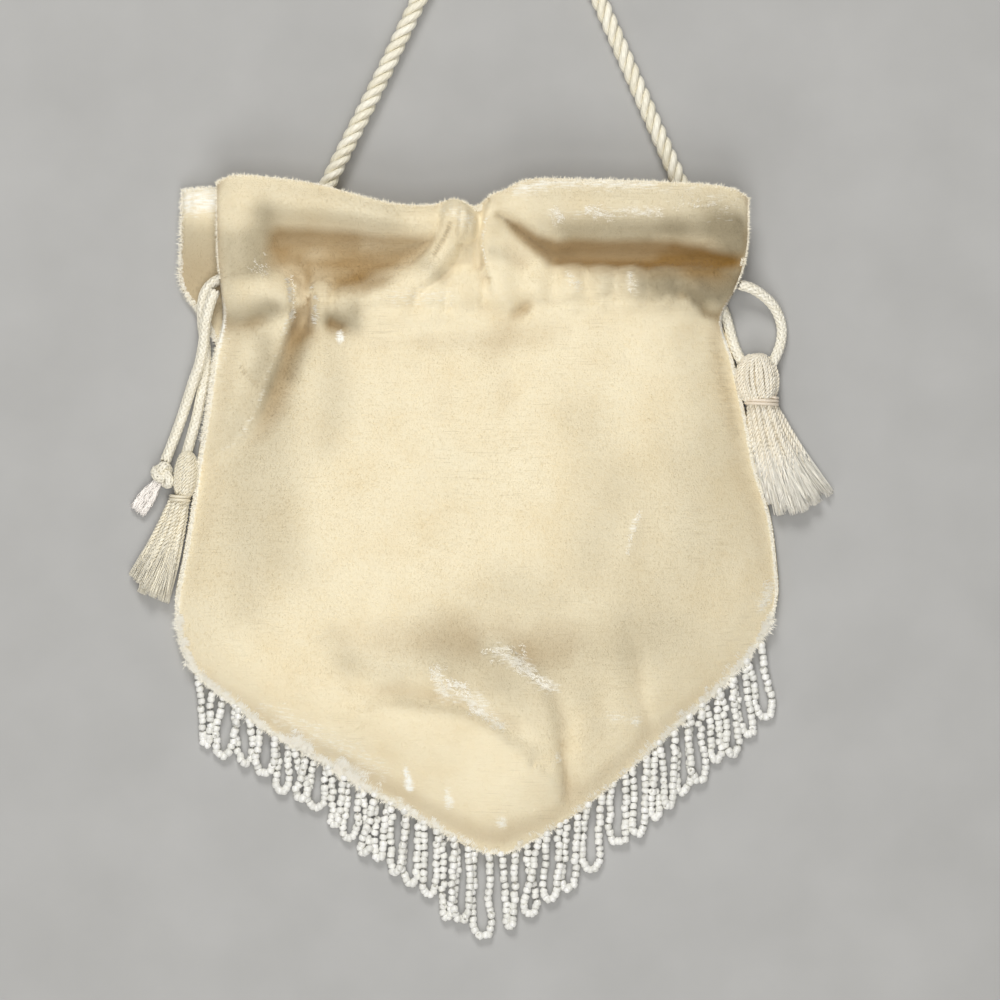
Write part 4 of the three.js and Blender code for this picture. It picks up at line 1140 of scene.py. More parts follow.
# %% [markdown]
# Where the cloth turns over sharply, the pile stands away from the turn like the edge of a feather. Each
# feathered edge is a line on the front, a number of fibres, their greatest length and the side that they
# point to.

# %% Feathered turns
FEATHERED = [
    ([(-55.2, 171.6), (-54.5, 166), (-54.7, 159)], 60, 0.8, True),
    ([(3.0, 174.4), (1.8, 182), (3.0, 189.4)], 120, 0.8, False),
]
for points, count, length, right_hand in FEATHERED:
    places = smooth_route(np.column_stack([points, np.zeros(len(points))]), 0.1)
    line = on_front(places[:, :2])
    out = outward_of(line, right_hand)
    at = rng.integers(0, len(line), count)
    root = line[at] + rng.normal(0, 0.35, (count, 3)) * (1, 1, 0) - 0.6 * out[at] + (0, 0, 0.3)
    way = unit(out[at] + rng.normal(0, 0.3, (count, 3)) * (1, 1, 0.2))
    batches.append((root, way * length * rng.uniform(0.35, 1.0, (count, 1))))
print(len(FEATHERED), "feathered turns")

# %% [markdown]
# Where a fold was squeezed, the pile lies flat in bright flecks. A patch of flecks is a line on the front,
# a width, a number, their lengths and their angle to the line. A fleck is a broad short fibre whose face
# leans a little towards the mouth, to mirror the light from there. Along the fringe seam they point
# outwards, and their number follows the seam's shine.

# %% Pressed flecks
FLECKS = [
    ([(2, 61.4), (10, 59.4), (14, 58.4)], 3.0, 380, (0.25, 0.8), -0.1),
    ([(11, 57.4), (15, 55), (20.8, 50.6)], 1.3, 620, (0.3, 0.9), -0.3),
    ([(-12, 56.4), (-10, 51.4)], 2.4, 240, (0.25, 0.7), 0.3),
    ([(-10.4, 51.4), (-3.4, 49)], 2.4, 520, (0.25, 0.7), 0.2),
    ([(-3.6, 48.4), (0.2, 44.6)], 1.6, 260, (0.25, 0.7), 0.0),
    ([(-2, 44.6), (2.4, 41.6), (8, 38)], 1.4, 560, (0.3, 0.9), -0.2),
    ([(48.4, 102), (46, 95), (44.4, 89)], 0.5, 90, (0.3, 0.8), 0.2),
    ([(21.4, 190.4), (25, 188.6)], 2.0, 320, (0.15, 0.5), 0.1),
    ([(32, 190.6), (40, 189.2)], 1.8, 520, (0.15, 0.5), 0.1),
    ([(42.6, 190.4), (54.4, 190.6)], 1.8, 560, (0.15, 0.5), 0.1),
    ([(-56.2, 171), (-55.6, 166), (-55.8, 159.6)], 0.5, 130, (0.8, 1.8), math.pi / 2),
    ([(-48.4, 169.6), (-48.2, 163), (-48.8, 157.6)], 0.7, 90, (0.8, 2.0), math.pi / 2),
    ([(56, 194), (74, 191)], 3.4, 160, (0.2, 0.6), 0.5),
    ([(27, 172), (31, 168)], 1.8, 110, (0.25, 0.7), 0.6),
    ([(45.6, 173), (46.2, 167)], 1.2, 90, (0.25, 0.7), 1.2),
    ([(-66, 178), (-62.6, 172)], 2.6, 130, (0.2, 0.6), 0.5),
    ([(84.4, 73.6), (88, 81)], 2.2, 170, (0.3, 1.0), -1.3),
    ([(-55, 36), (-49, 32)], 2.4, 360, (1.0, 2.6), -math.pi / 2),
    ([(-41, 28), (-33, 22.6)], 2.8, 520, (1.0, 2.6), -math.pi / 2),
]
FLECK_WIDTH = 0.17
FLECKS_IN_A_CLUMP = 12
FLECK_LIFT = 0.36
PILE_FLOOR = 0.1
HEADER_RUNS = slice(5, 8)
HEADER_WHITENESS = 0.25
SEAM_INSET = 1.6
SEAM_PARTS = 24
SEAM_FLECKS = 350
SHINE_POWER = 1.8
for part in np.array_split(seam - SEAM_INSET * seam_out[:, :2], SEAM_PARTS):
    shine = np.interp(part[:, 0].mean(), SEAM_SHINE["x"], SEAM_SHINE["share"])
    FLECKS.append((part[::3], 1.5, int(SEAM_FLECKS * shine**SHINE_POWER), (0.8, 2.1), -math.pi / 2))


def fleck_blades(points, width, count, length, turn, rng):
    """Vertices of flat four-cornered flecks that lie on the front near a line."""
    line = smooth_route(np.column_stack([points, np.zeros(len(points))]), 0.2)
    clumps = max(4, count // FLECKS_IN_A_CLUMP)
    at = rng.integers(0, len(line), clumps)
    way = along(line[None])[0][at, :2]
    aside = np.column_stack([-way[:, 1], way[:, 0]])
    middle = line[at, :2] + aside * rng.normal(0, width / 2, (clumps, 1))
    clump = rng.integers(0, clumps, count)
    way, aside = way[clump], aside[clump]
    place = middle[clump] + way * rng.normal(0, 0.55, (count, 1)) + aside * rng.normal(0, 0.3, (count, 1))
    angle = (turn + rng.normal(0, 0.3, count))[:, None]
    reach = (way * np.cos(angle) + aside * np.sin(angle)) * rng.uniform(*length, (count, 1))
    half = np.column_stack([-reach[:, 1], reach[:, 0]])
    half = unit(half) * FLECK_WIDTH / 2 * rng.uniform(0.5, 1.2, (count, 1))
    corners = [place - 0.5 * half, place + 0.4 * reach - half, place + reach, place + 0.5 * reach + half]
    lean = rng.uniform(-0.1, 0.3, count)
    surface = [on_front(corner) for corner in corners]
    lift = [FLECK_LIFT - lean * (corner[:, 1] - place[:, 1]) for corner in corners]
    return np.stack([point + np.outer(rise, (0, 0, 1)) for point, rise in zip(surface, lift)], axis=1)


roots, reaches = (np.concatenate([batch[k] for batch in batches]) for k in range(2))
pile_points, pile_quads, pile_tips = pile_blades(roots, reaches, rng)
flecks = np.concatenate([fleck_blades(*patch, rng) for patch in FLECKS])
fleck_quads = len(pile_points) + np.arange(4 * len(flecks)).reshape(-1, 4)
pile_points = np.vstack([pile_points, flecks.reshape(-1, 3)])
pile_points[:, 2] = np.maximum(pile_points[:, 2], PILE_FLOOR)
# Painted highlight: fibres and flecks get a white brighter than the cloth's, kept low on the header.
whiteness = np.ones(len(batches))
whiteness[HEADER_RUNS] = HEADER_WHITENESS
white = rng.random(len(roots)) * np.repeat(whiteness, [len(batch[0]) for batch in batches])
fleck_white = rng.uniform(0.4, 1, len(flecks))
pile_shade = np.concatenate([np.repeat(white, BLADE_POINTS), np.repeat(fleck_white, 4)])
pile_faces = [np.vstack([pile_quads, fleck_quads]), pile_tips]
velvet_pile = new_piece("velvet_pile", in_frame(pile_points), pile_faces, None, {"shade": pile_shade})

# %% [markdown]
# All over the cloth the pile is short and leans towards the tip, and one triangle is enough for such a
# fibre. The roots are spread evenly by area, the lean drifts as if the nap had been stroked, and each fibre
# carries the values of the cloth under it, so that it takes the same finish.

# %% Nap all over
NAP_FIBRES = 150000
FLAP_FIBRES = 7000
NAP_WIDTH = 0.15
NAP_LENGTH = (0.35, 0.75)
NAP_LEAN = (0.25, 0.6)
NAP_SWING = 0.9
NAP_PATCH = 24
FLAP_NAP_ROWS = 45
FLAP_NAP_COLUMNS = 21


def nap(points, marks, count, rng):
    """Vertices, faces and point values of short leaning fibres all over a grid of points."""
    corner = points[:-1, :-1]
    square = np.cross(points[:-1, 1:] - corner, points[1:, :-1] - corner)
    area = np.linalg.norm(square, axis=-1).reshape(-1)
    pick = rng.choice(len(area), count, p=area / area.sum())
    i, j = np.divmod(pick, points.shape[1] - 1)
    u, v = rng.random((2, count, 1))

    def at_root(grid):
        """Values of a grid at the roots, from the four corners round each."""
        low = (1 - u) * grid[i, j] + u * grid[i, j + 1]
        high = (1 - u) * grid[i + 1, j] + u * grid[i + 1, j + 1]
        return (1 - v) * low + v * high

    root = at_root(points)
    normal = unit(square)[i, j]
    stroke = NAP_SWING * mottle(root[:, 0], root[:, 1], NAP_PATCH, 61) + rng.normal(0, 0.4, count)
    level = np.stack([np.sin(stroke), -np.cos(stroke), np.zeros(count)], axis=1)
    level = unit(level - normal * np.sum(level * normal, axis=1, keepdims=True))
    lean = rng.uniform(*NAP_LEAN, (count, 1))
    way = level * np.cos(lean) + normal * np.sin(lean)
    wide = unit(np.cross(way, normal) + rng.normal(0, 0.15, (count, 3))) * NAP_WIDTH / 2
    tip = root + way * rng.uniform(*NAP_LENGTH, (count, 1))
    vertices = np.stack([root - wide, root + wide, tip], axis=1).reshape(-1, 3)
    values = {key: at_root(value[..., None])[:, 0] for key, value in marks.items()}
    values["crush_and_highlight"] = values["crush_and_highlight"] * rng.uniform(0.35, 1.45, count)
    values = {key: np.repeat(value, 3) for key, value in values.items()}
    return vertices, np.arange(3 * count).reshape(-1, 3), values


front_nap = nap(front_points, front_marks, NAP_FIBRES, rng)
flap = np.s_[-FLAP_NAP_ROWS:, :FLAP_NAP_COLUMNS]
flap_marks = {key: value[flap] for key, value in back_marks.items()}
flap_nap = nap(back_points[flap], flap_marks, FLAP_FIBRES, rng)
nap_points = np.vstack([front_nap[0], flap_nap[0]])
nap_faces = np.vstack([front_nap[1], flap_nap[1] + len(front_nap[0])])
nap_values = {key: np.concatenate([front_nap[2][key], flap_nap[2][key]]) for key in front_marks}
print(len(nap_faces), "fibres of nap")

# %% [markdown]
# Where the cloth bends, the nap parts between the rows of the backing, and the gaps show as short dark
# lines: like a ladder on the thick pleat, and as fine hatching on the tongue of cloth and inside the right
# side. Each parting is a line on the front, a number of gaps, the thin dark fibres in each, their greatest
# length and whether they lie level.

# %% Partings of the nap
PARTINGS = [
    ([(-12.6, 178), (-10.6, 181), (-8.9, 184.2), (-7.8, 187)], 14, 5, 2.6, False),
    ([(-70, 144.6), (-67.4, 141.6), (-64.8, 139.6)], 8, 3, 2.8, False),
    ([(70.6, 153.4), (72.4, 145), (75, 134), (77, 124)], 34, 1, 6.6, True),
]
PARTING_WIDTH = 0.16
PARTING_LIFT = 0.4
# Painted shade: the parting fibres carry painted fold shade and dull painted shade, so the gaps look dark.
PARTING_VALUES = {"painted_fold_shade": 0.18, "crush_and_highlight": 0.0, "stroke": 0.6}


def parting(points, gaps, threads, length, level, rng):
    """Corners of thin four-cornered fibres that lie across a line on the front, or level."""
    line = smooth_route(np.column_stack([points, np.zeros(len(points))]), 0.1)
    at = np.repeat(np.linspace(0, len(line) - 1, gaps).astype(int), threads)
    way = np.tile((0.0, -1.0), (len(at), 1)) if level else along(line[None])[0][at, :2]
    across = np.column_stack([way[:, 1], -way[:, 0]])
    across = across + rng.normal(0, 0.03 if level else 0.1, way.shape)
    middle = line[at, :2] + rng.normal(0, 0.2, way.shape)
    reach = across * length / 2 * rng.uniform(0.3, 1, (len(at), 1))
    wide = way * PARTING_WIDTH / 2
    corners = [middle - reach, middle + wide, middle + reach, middle - wide]
    return np.stack([on_front(corner) + (0, 0, PARTING_LIFT) for corner in corners], axis=1)


gaps = np.concatenate([parting(*spec, rng) for spec in PARTINGS])
gap_quads = len(nap_points) + np.arange(4 * len(gaps)).reshape(-1, 4)
nap_points = np.vstack([nap_points, gaps.reshape(-1, 3)])
for key, value in nap_values.items():
    nap_values[key] = np.append(value, np.full(4 * len(gaps), PARTING_VALUES[key]))
velvet_nap = new_piece("velvet_nap", in_frame(nap_points), [nap_faces, gap_quads], None, nap_values)

# %% [markdown]
# The fringe is made of white seed beads strung in long loops, and both ends of a loop are caught in the
# seam. One bead is modelled as a rounded ring, and every other bead is a copy of it, turned along its
# thread.

# %% One seed bead
BEAD_DIAMETER = 2.5
BEAD_LENGTH = 2.0
BEAD_PITCH = 1.95
BEAD_HOLE = 0.45
BEAD_PLAY = 0.2

bpy.ops.mesh.primitive_torus_add(
    major_segments=10,
    minor_segments=7,
    major_radius=(BEAD_DIAMETER + BEAD_HOLE) / 4,
    minor_radius=(BEAD_DIAMETER - BEAD_HOLE) / 4,
)
bead = bpy.context.object
bpy.ops.object.mode_set(mode="EDIT")
bpy.ops.mesh.select_all(action="SELECT")
bpy.ops.transform.resize(value=(1, 1, BEAD_LENGTH / ((BEAD_DIAMETER - BEAD_HOLE) / 2)))
bpy.ops.object.mode_set(mode="OBJECT")
bead_points = np.array([vertex.co for vertex in bead.data.vertices])
bead_faces = np.array([face.vertices for face in bead.data.polygons])
bpy.data.objects.remove(bead)
print("a bead has", len(bead_faces), "faces, and is", np.ptp(bead_points, axis=0).round(2), "mm")

# %% [markdown]
# A loop is laid out as a smooth line from the seam down and back, and beads are set along it one length
# apart. The table gives the lowest place of each loop, the width of its belly and how far its top leans
# aside.

# %% String the loops
LOOP_SPREAD = 4.4
TWISTED_SHARE = 0.3
SEAM_MIDDLE = 2.85
LINE_STEP = 0.1
LOOPS = {
    "x": [-80.6, -75.6, -68.8, -63.1, -57.8, -52.4, -47.4, -42.3, -37.9, -33.4, -29, -23.9, -19.2, -14.2]
    + [-8.8, -4.2, 1.9, 10, 15.9, 21.6, 27.2, 34, 42, 47.8, 53, 57.2, 61.4, 66.2, 71.6, 76.4, 80.9, 85.6],
    "y": [29.1, 25.8, 23.8, 20.8, 15.1, 13.1, 10.4, 5.1, 1.5, -3.3, -4.8, -8.9, -12.2, -15.2, -22.3, -22.9]
    + [-27.6, -25.2, -21.1, -16.9, -13.7, -8, 0.3, 2.7, 7.7, 11, 15.1, 18.4, 24.7, 26.4, 32.4, 37.7],
    "belly": [2.6, 7.4, 6.4, 7.6, 6.6, 6.4, 7, 2.6, 6.6, 5.6, 4.6, 4.6, 6.2, 6, 2.8, 6.4]
    + [7.4, 3, 6.8, 5.8, 6, 7.2, 7, 5.8, 6, 5.4, 5, 6.4, 5.6, 5.8, 5.2, 7],
    "lean": [0, 2.5, -1, 0.5, 0, 0, 0.6, 0.6, 1.4, 1, 1, 0.6, 0.4, 0.6, 0.2, -0.4]
    + [-0.6, -0.6, 1.4, 1.2, 1.4, 1.4, 0.6, 0.4, -0.2, -0.4, -0.4, -0.6, -1.2, -2, -2.2, -3],
}


def seam_height(x):
    """Height of the fringe seam under a place across the bag."""
    return np.interp(x, seam[:, 0], seam[:, 1])


def loop_line(x, y, belly, lean, rng):
    """Middle line of one loop of beads, from the seam down and back up to it. Some loops hang twisted."""
    half = BEAD_DIAMETER / 2
    twist = -1 if rng.random() < TWISTED_SHARE else 1
    sides = []
    for side in (-1, 1):
        top_x = x + lean + twist * side * LOOP_SPREAD / 2
        top_y = seam_height(top_x) + 0.2
        low_x = x + side * max(belly - BEAD_DIAMETER, 0.8) / 2
        low_y = y + half + 0.62 * belly
        sway = rng.normal(0, 0.55, 3)
        above = half if twist * side < 0 else 2.2 * half
        over, down = low_x - top_x, low_y - top_y
        sides.append(
            [
                (top_x, top_y, SEAM_MIDDLE),
                (top_x + over * 0.3 + sway[0], top_y + down * 0.3, (above + SEAM_MIDDLE) / 2),
                (top_x + over * 0.66 + sway[1], top_y + down * 0.66, (above + half) / 2),
                (low_x + 0.14 * side * belly + 0.4 * sway[2], low_y, half),
            ]
        )
    bottom = (x + rng.normal(0, 0.3), y + half, half)
    return smooth_route([*sides[0], bottom, *sides[1][::-1]], LINE_STEP)


bead_rng = np.random.default_rng(41)
bead_places, loop_of_bead = [], []
for k, spec in enumerate(zip(*LOOPS.values())):
    line = loop_line(*spec, bead_rng)
    even = np.arange(0, len(line), BEAD_PITCH / LINE_STEP).astype(int)
    bead_places.append(line[even])
    loop_of_bead.append(np.full(len(even), k))
beads = np.vstack(bead_places)
loop_of_bead = np.concatenate(loop_of_bead)
print(len(beads), "beads on", len(LOOPS["x"]), "loops")

# %% [markdown]
# Where loops cross, the beads are moved apart, mostly upwards, until none lies in another. After each move
# a loop is straightened a little, so that it stays one smooth string. A physics simulation could do this
# too, but its beads could end in other places each time.

# %% Part the beads that meet
MEETING = 2.15
UPWARD_BIAS = 0.35
MOVE_SHARE = (0.08, 0.08, 0.34)
STRAIGHTENING = 0.08


def parted(places, rounds):
    """Bead places moved apart until no two are closer than a bead, kept on or above the surface."""
    places = places.copy()
    order = np.arange(len(places))
    beside = np.abs(order[:, None] - order[None]) <= 1
    beside &= loop_of_bead[:, None] == loop_of_bead[None]
    for _ in range(rounds):
        gap = places[:, None] - places[None]
        gap[..., 2] += UPWARD_BIAS * np.sign(loop_of_bead[:, None] % 2 - loop_of_bead[None] % 2)
        distance = np.linalg.norm(gap, axis=-1)
        near = (distance < MEETING) & ~beside & (distance > 0)
        push = np.where(near, (MEETING - distance) / np.maximum(distance, 0.05), 0)
        places += np.sum(gap * push[..., None], axis=1) * MOVE_SHARE
        places[:, 2] = np.maximum(places[:, 2], BEAD_DIAMETER / 2)
        for k in range(len(LOOPS["x"])):
            own = np.flatnonzero(loop_of_bead == k)
            smooth = (places[own[:-2]] + places[own[2:]]) / 2
            places[own[1:-1]] += STRAIGHTENING * (smooth - places[own[1:-1]])
    return places


beads = parted(beads, rounds=40)
print("highest bead:", round(float(beads[:, 2].max()), 1), "mm")

# %% [markdown]
# A copy of the bead goes to each place, turned along the thread and a little askew, as loose beads sit. A
# cotton thread runs through the beads of each loop.

# %% Set the beads and their thread
THREAD_RADIUS = 0.16
THREAD_STEP = 0.9
ASKEW = 0.3


def turned_copies(points, faces, places, ways, rng):
    """Copies of a small mesh with its z axis along each way, in one set of vertices and faces."""
    other = unit(np.cross(ways, unit(rng.normal(0, 1, ways.shape))))
    third = np.cross(ways, other)
    size = rng.uniform(0.95, 1.04, (len(places), 1, 1))
    shaped = points[None] * size
    vertices = shaped[..., :1] * other[:, None] + shaped[..., 1:2] * third[:, None]
    vertices = vertices + shaped[..., 2:] * ways[:, None] + places[:, None]
    index = faces[None] + len(points) * np.arange(len(places))[:, None, None]
    return vertices.reshape(-1, 3), index.reshape(-1, faces.shape[1])


loops = [np.flatnonzero(loop_of_bead == k) for k in range(len(LOOPS["x"]))]
bead_ways = np.vstack([along(beads[own][None])[0] for own in loops])
bead_ways = unit(bead_ways + bead_rng.normal(0, ASKEW, bead_ways.shape))
beads = beads + bead_rng.normal(0, BEAD_PLAY, beads.shape)
beads[:, 2] = np.maximum(beads[:, 2], BEAD_DIAMETER / 2)
bead_vertices, bead_quads = turned_copies(bead_points, bead_faces, beads, bead_ways, bead_rng)
bead_shade = np.repeat(bead_rng.random(len(beads)), len(bead_points))
bead_marks = {"shade": bead_shade}
bead_fringe = new_piece("seed_bead_fringe", in_frame(bead_vertices), [bead_quads], None, bead_marks)
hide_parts("bead_fringe")

thread_lines = [smooth_route(in_frame(beads[own]), THREAD_STEP * MM) for own in loops]
even = np.linspace(0, 1, max(len(line) for line in thread_lines))
even_lines = np.array([points_at(even, np.linspace(0, 1, len(line)), line) for line in thread_lines])
bead_thread = strand_piece("bead_thread", even_lines, THREAD_RADIUS * MM, sides=5, seed=42)

# %% [markdown]
# The loops hang from a narrow woven tape that is sewn into the seam, and only its edge shows between the
# two velvets. It is a flattened strand along the seam.

# %% Heading tape
TAPE_WIDTH = 2.4
TAPE_FLATNESS = 0.28
TAPE_INSET = 1.5
tape_line = np.column_stack([seam - TAPE_INSET * seam_out[:, :2], np.full(len(seam), SEAM_MIDDLE)])
fringe_tape = strand_piece(
    "fringe_tape",
    in_frame(tape_line)[None],
    TAPE_WIDTH / 2 * MM,
    sides=8,
    seed=43,
    flatness=TAPE_FLATNESS,
)

# %% [markdown]
# A tassel is a bundle of twisted yarns, folded over the cord and bound below the fold. So it has five
# pieces: the yarns of the head, the round core under them, the binding thread, the skirt and the brush at
# its end.

# %% Tassel measures
LEFT_TASSEL = {
    "head": (-86.7, 112.7, 4.2),
    "head_size": (3.3, 7.0, 3.9),
    "lean": -0.1,
    "neck": (-88.3, 104.6, 3.6),
    "neck_width": 5.2,
    "binding_room": 0.2,
    "fan": [(-102.8, 82.6), (-98.4, 76.6), (-91.4, 76.4)],
    "yarns": 20,
}
RIGHT_TASSEL = {
    "head": (83.5, 141.2, 4.6),
    "head_size": (5.9, 7.6, 4.5),
    "lean": 0.1,
    "neck": (84.9, 133.2, 4.0),
    "neck_width": 8.2,
    "binding_room": 0.7,
    "fan": [(85.6, 105), (95.4, 98.4), (105.6, 109.4)],
    "yarns": 28,
}
print("yarns:", LEFT_TASSEL["yarns"], "on the left and", RIGHT_TASSEL["yarns"], "on the right")

# %% [markdown]
# Each skirt yarn is three plies that wind round each other. Towards the cut end the twist opens, the plies
# thin out and a brush of fine loose fibres takes their place.

# %% Skirt and brush
YARN_PLIES = 3
PLY_RADIUS = 0.46
PLY_OFFSET = 0.5
YARN_LAY = 3.9
YARN_STEPS = 72
TWIST_OPENS = 0.5
PLY_THINNING = 0.8
PILE_UP = 4.4
BRUSH_FIBRES = 46
BRUSH_STEPS = 9
BRUSH_RADIUS = 0.125


def bezier(points, t):
    """Points of a quadratic curve through a start, a pull and an end."""
    a, b, c = (np.asarray(p, dtype=float) for p in points)
    t = np.asarray(t)[..., None]
    return (1 - t) ** 2 * a + 2 * t * (1 - t) * b + t**2 * c


def turned(x, y, angle):
    """Two level measures turned by an angle."""
    c, s = math.cos(angle), math.sin(angle)
    return c * x - s * y, s * x + c * y


def plied(axes, rng, opening, size=1.0):
    """Lines of the plies that wind round each yarn's axis, opening from a share of its length on."""
    count, steps = axes.shape[:2]
    frames = side_frames(axes)
    run = run_along(axes)
    share = np.linspace(0, 1, steps)
    starts = opening + rng.normal(0, 0.07, (count, 1))
    loose = smoothstep(share[None], starts, starts + 0.35)
    turns = np.cumsum(np.gradient(run, axis=1) * (1 - loose), axis=1) / (YARN_LAY * size)
    first = rng.random((count, 1))
    lines = []
    for k in range(YARN_PLIES):
        angle = 2 * np.pi * (turns + k / YARN_PLIES + first)
        spread = size * PLY_OFFSET * (1 + 0.7 * loose)
        lines.append(axes + turned_round(frames, angle) * spread[..., None])
    return np.concatenate(lines), np.concatenate([loose] * YARN_PLIES)


def skirt_axes(spec, rng):
    """Middle lines of the skirt's yarns, from the neck to the fanned end, piled up in the middle."""
    count = spec["yarns"]
    neck = np.array(spec["neck"], dtype=float)
    ring = np.sqrt((np.arange(count) + 0.5) / count)
    spin = np.arange(count) * math.pi * (3 - math.sqrt(5))
    q, h = 0.5 + 0.5 * ring * np.cos(spin), 0.5 + 0.5 * ring * np.sin(spin)
    start_x = neck[0] + (q - 0.5) * spec["neck_width"]
    start_z = 1.1 + h * (2 * neck[2] - 2.6)
    start = np.stack([start_x, np.full(count, neck[1] + 1.2), start_z], axis=1)
    end_z = 0.5 + PILE_UP * h * np.sqrt(1 - 0.8 * (2 * q - 1) ** 2)
    end = np.column_stack([bezier(spec["fan"], q), end_z])
    longer = unit(end[:, :2] - neck[:2]) * rng.normal(0, 0.7, (count, 1))
    end[:, :2] += longer + rng.normal(0, 0.35, (count, 2))
    t = np.linspace(0, 1, YARN_STEPS)
    fall = start + (end - start) * (0.42, 0.5, 0.6) + rng.normal(0, 0.4, (count, 3)) * (1, 1, 0.2)
    return np.array([bezier((a, 2 * b - 0.5 * (a + c), c), t) for a, b, c in zip(start, fall, end)])


def skirt(name, axes, rng, seed):
    """The twisted yarns of a tassel's skirt as one piece."""
    lines, loose = plied(axes, rng, TWIST_OPENS)
    lines[..., 2] = np.maximum(lines[..., 2], PLY_RADIUS)
    radius = PLY_RADIUS * (1 - PLY_THINNING * loose) * MM
    return strand_piece(name, in_frame(lines), radius, sides=4, seed=seed)


def brush(name, axes, rng, seed):
    """The loose fibres that the yarns open into towards the cut end."""
    yarns, steps = axes.shape[:2]
    across, beside = side_frames(axes)
    yarn = np.repeat(np.arange(yarns), BRUSH_FIBRES)[:, None]
    count = len(yarn)
    start = rng.uniform(0.36, 0.62, (count, 1))
    cut = rng.normal(0.985, 0.022, (count, 1))
    share = np.linspace(0, 1, BRUSH_STEPS)[None]
    at = np.minimum((start + (cut - start) * share) * (steps - 1), steps - 1.001)
    low = at.astype(int)
    part = (at - low)[..., None]
    middle = axes[yarn, low] * (1 - part) + axes[yarn, low + 1] * part
    angle = rng.uniform(0, 2 * np.pi, (count, 1)) + 0.5 * rng.normal(0, 1, (count, 1)) * share
    spread = np.sqrt(rng.random((count, 1))) * (0.8 + 0.9 * share)
    frames = across[yarn, low], beside[yarn, low]
    lines = middle + turned_round(frames, angle) * spread[..., None]
    lines[..., 2] = np.maximum(lines[..., 2], BRUSH_RADIUS)
    return strand_piece(name, in_frame(lines), BRUSH_RADIUS * MM, sides=3, seed=seed)


print("a yarn has", YARN_PLIES, "plies and opens into", BRUSH_FIBRES, "fibres")

# %% [markdown]
# The head's yarns run from the neck over a round form up to the cord, and a plain core closes the gaps
# between them. The binding is one thread, wound twice round the neck, with its end left out.

# %% Tassel heads and bindings
HEAD_YARNS = 24
HEAD_STEPS = 54
HEAD_YARN_SIZE = 0.84
HEAD_INSET = (0.5, 0.3, 0.5)
HEAD_CLOSED = 2.0
CORE_INSET = 0.8
BINDING_RADIUS = 0.46
BINDING_TURNS = 2.1
BINDING_PITCH = 0.95
BINDING_LIFT = (0, 1.6, 0)
BINDING_END = (-3.4, 0.9, 0.3)


def head(name, spec, seed):
    """The head's yarns, running from the neck over a round form to the cord at its top."""
    rng = np.random.default_rng(seed)
    middle, size = np.array(spec["head"]), np.array(spec["head_size"]) - HEAD_INSET
    t = np.pi * np.linspace(0.1, 0.95, HEAD_STEPS)
    axes = []
    for k in range(HEAD_YARNS):
        angle = 2 * np.pi * (k + 0.3 * rng.random()) / HEAD_YARNS + 0.25 * np.sin(t)
        bulge = np.sin(t) ** 0.8 * (1 + 0.05 * rng.normal())
        x, y = turned(size[0] * bulge * np.cos(angle), -size[1] * np.cos(t), spec["lean"])
        axes.append(middle + np.stack([x, y, size[2] * bulge * np.sin(angle)], axis=1))
    lines, _ = plied(np.array(axes), rng, HEAD_CLOSED, HEAD_YARN_SIZE)
    lines[..., 2] = np.maximum(lines[..., 2], PLY_RADIUS)
    return strand_piece(name, in_frame(lines), HEAD_YARN_SIZE * PLY_RADIUS * MM, sides=4, seed=seed)


def head_core(name, spec):
    """The plain round form inside a head, which closes the gaps between its yarns."""
    bpy.ops.mesh.primitive_uv_sphere_add(segments=20, ring_count=14, radius=1)
    core = bpy.context.object
    core.name = name
    core.data.name = name
    bpy.ops.object.mode_set(mode="EDIT")
    bpy.ops.mesh.select_all(action="SELECT")
    bpy.ops.transform.resize(value=[(size - CORE_INSET) * MM for size in spec["head_size"]])
    bpy.ops.transform.rotate(value=-spec["lean"], orient_axis="Z", center_override=(0, 0, 0))
    bpy.ops.transform.translate(value=in_frame(spec["head"]))
    bpy.ops.object.mode_set(mode="OBJECT")
    bpy.ops.object.shade_smooth()
    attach(core, "root")
    return core


def binding(name, spec, seed):
    """The thread that is wound round the neck, with its end laid out to the side."""
    neck = np.array(spec["neck"]) + BINDING_LIFT
    angle = np.linspace(0, 2 * np.pi * BINDING_TURNS, 120)
    half_width, half_height = spec["neck_width"] / 2 + spec["binding_room"], neck[2]
    climb = BINDING_PITCH * (angle / (2 * np.pi) - BINDING_TURNS / 2)
    wound = np.stack([half_width * np.cos(angle), climb, half_height * np.sin(angle)], axis=1)
    tail = wound[-1] + np.outer(np.linspace(0.05, 1, 20), BINDING_END)
    line = neck + np.vstack([wound, tail])
    line[:, 2] = np.maximum(line[:, 2], BINDING_RADIUS)
    return strand_piece(name, in_frame(line)[None], BINDING_RADIUS * MM, sides=7, seed=seed)


tassel_pieces = {}
for side, spec, seed in (("left", LEFT_TASSEL, 51), ("right", RIGHT_TASSEL, 55)):
    yarn_rng = np.random.default_rng(seed)
    yarn_axes = skirt_axes(spec, yarn_rng)
    pieces = [
        skirt(f"{side}_tassel_skirt", yarn_axes, yarn_rng, seed),
        brush(f"{side}_tassel_brush", yarn_axes, yarn_rng, seed + 3),
        head(f"{side}_tassel_head", spec, seed + 1),
        head_core(f"{side}_tassel_core", spec),
        binding(f"{side}_tassel_binding", spec, seed + 2),
    ]
    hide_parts(f"{side}_tassel")
    tassel_pieces[side] = pieces

# %% [markdown]
# The left front cord is tied off in a small overhand knot, and its end is frayed. The knot is the same
# braid, drawn tight along the line of a three-lobed knot. The frayed end is a flat lock of fine wavy
# fibres.

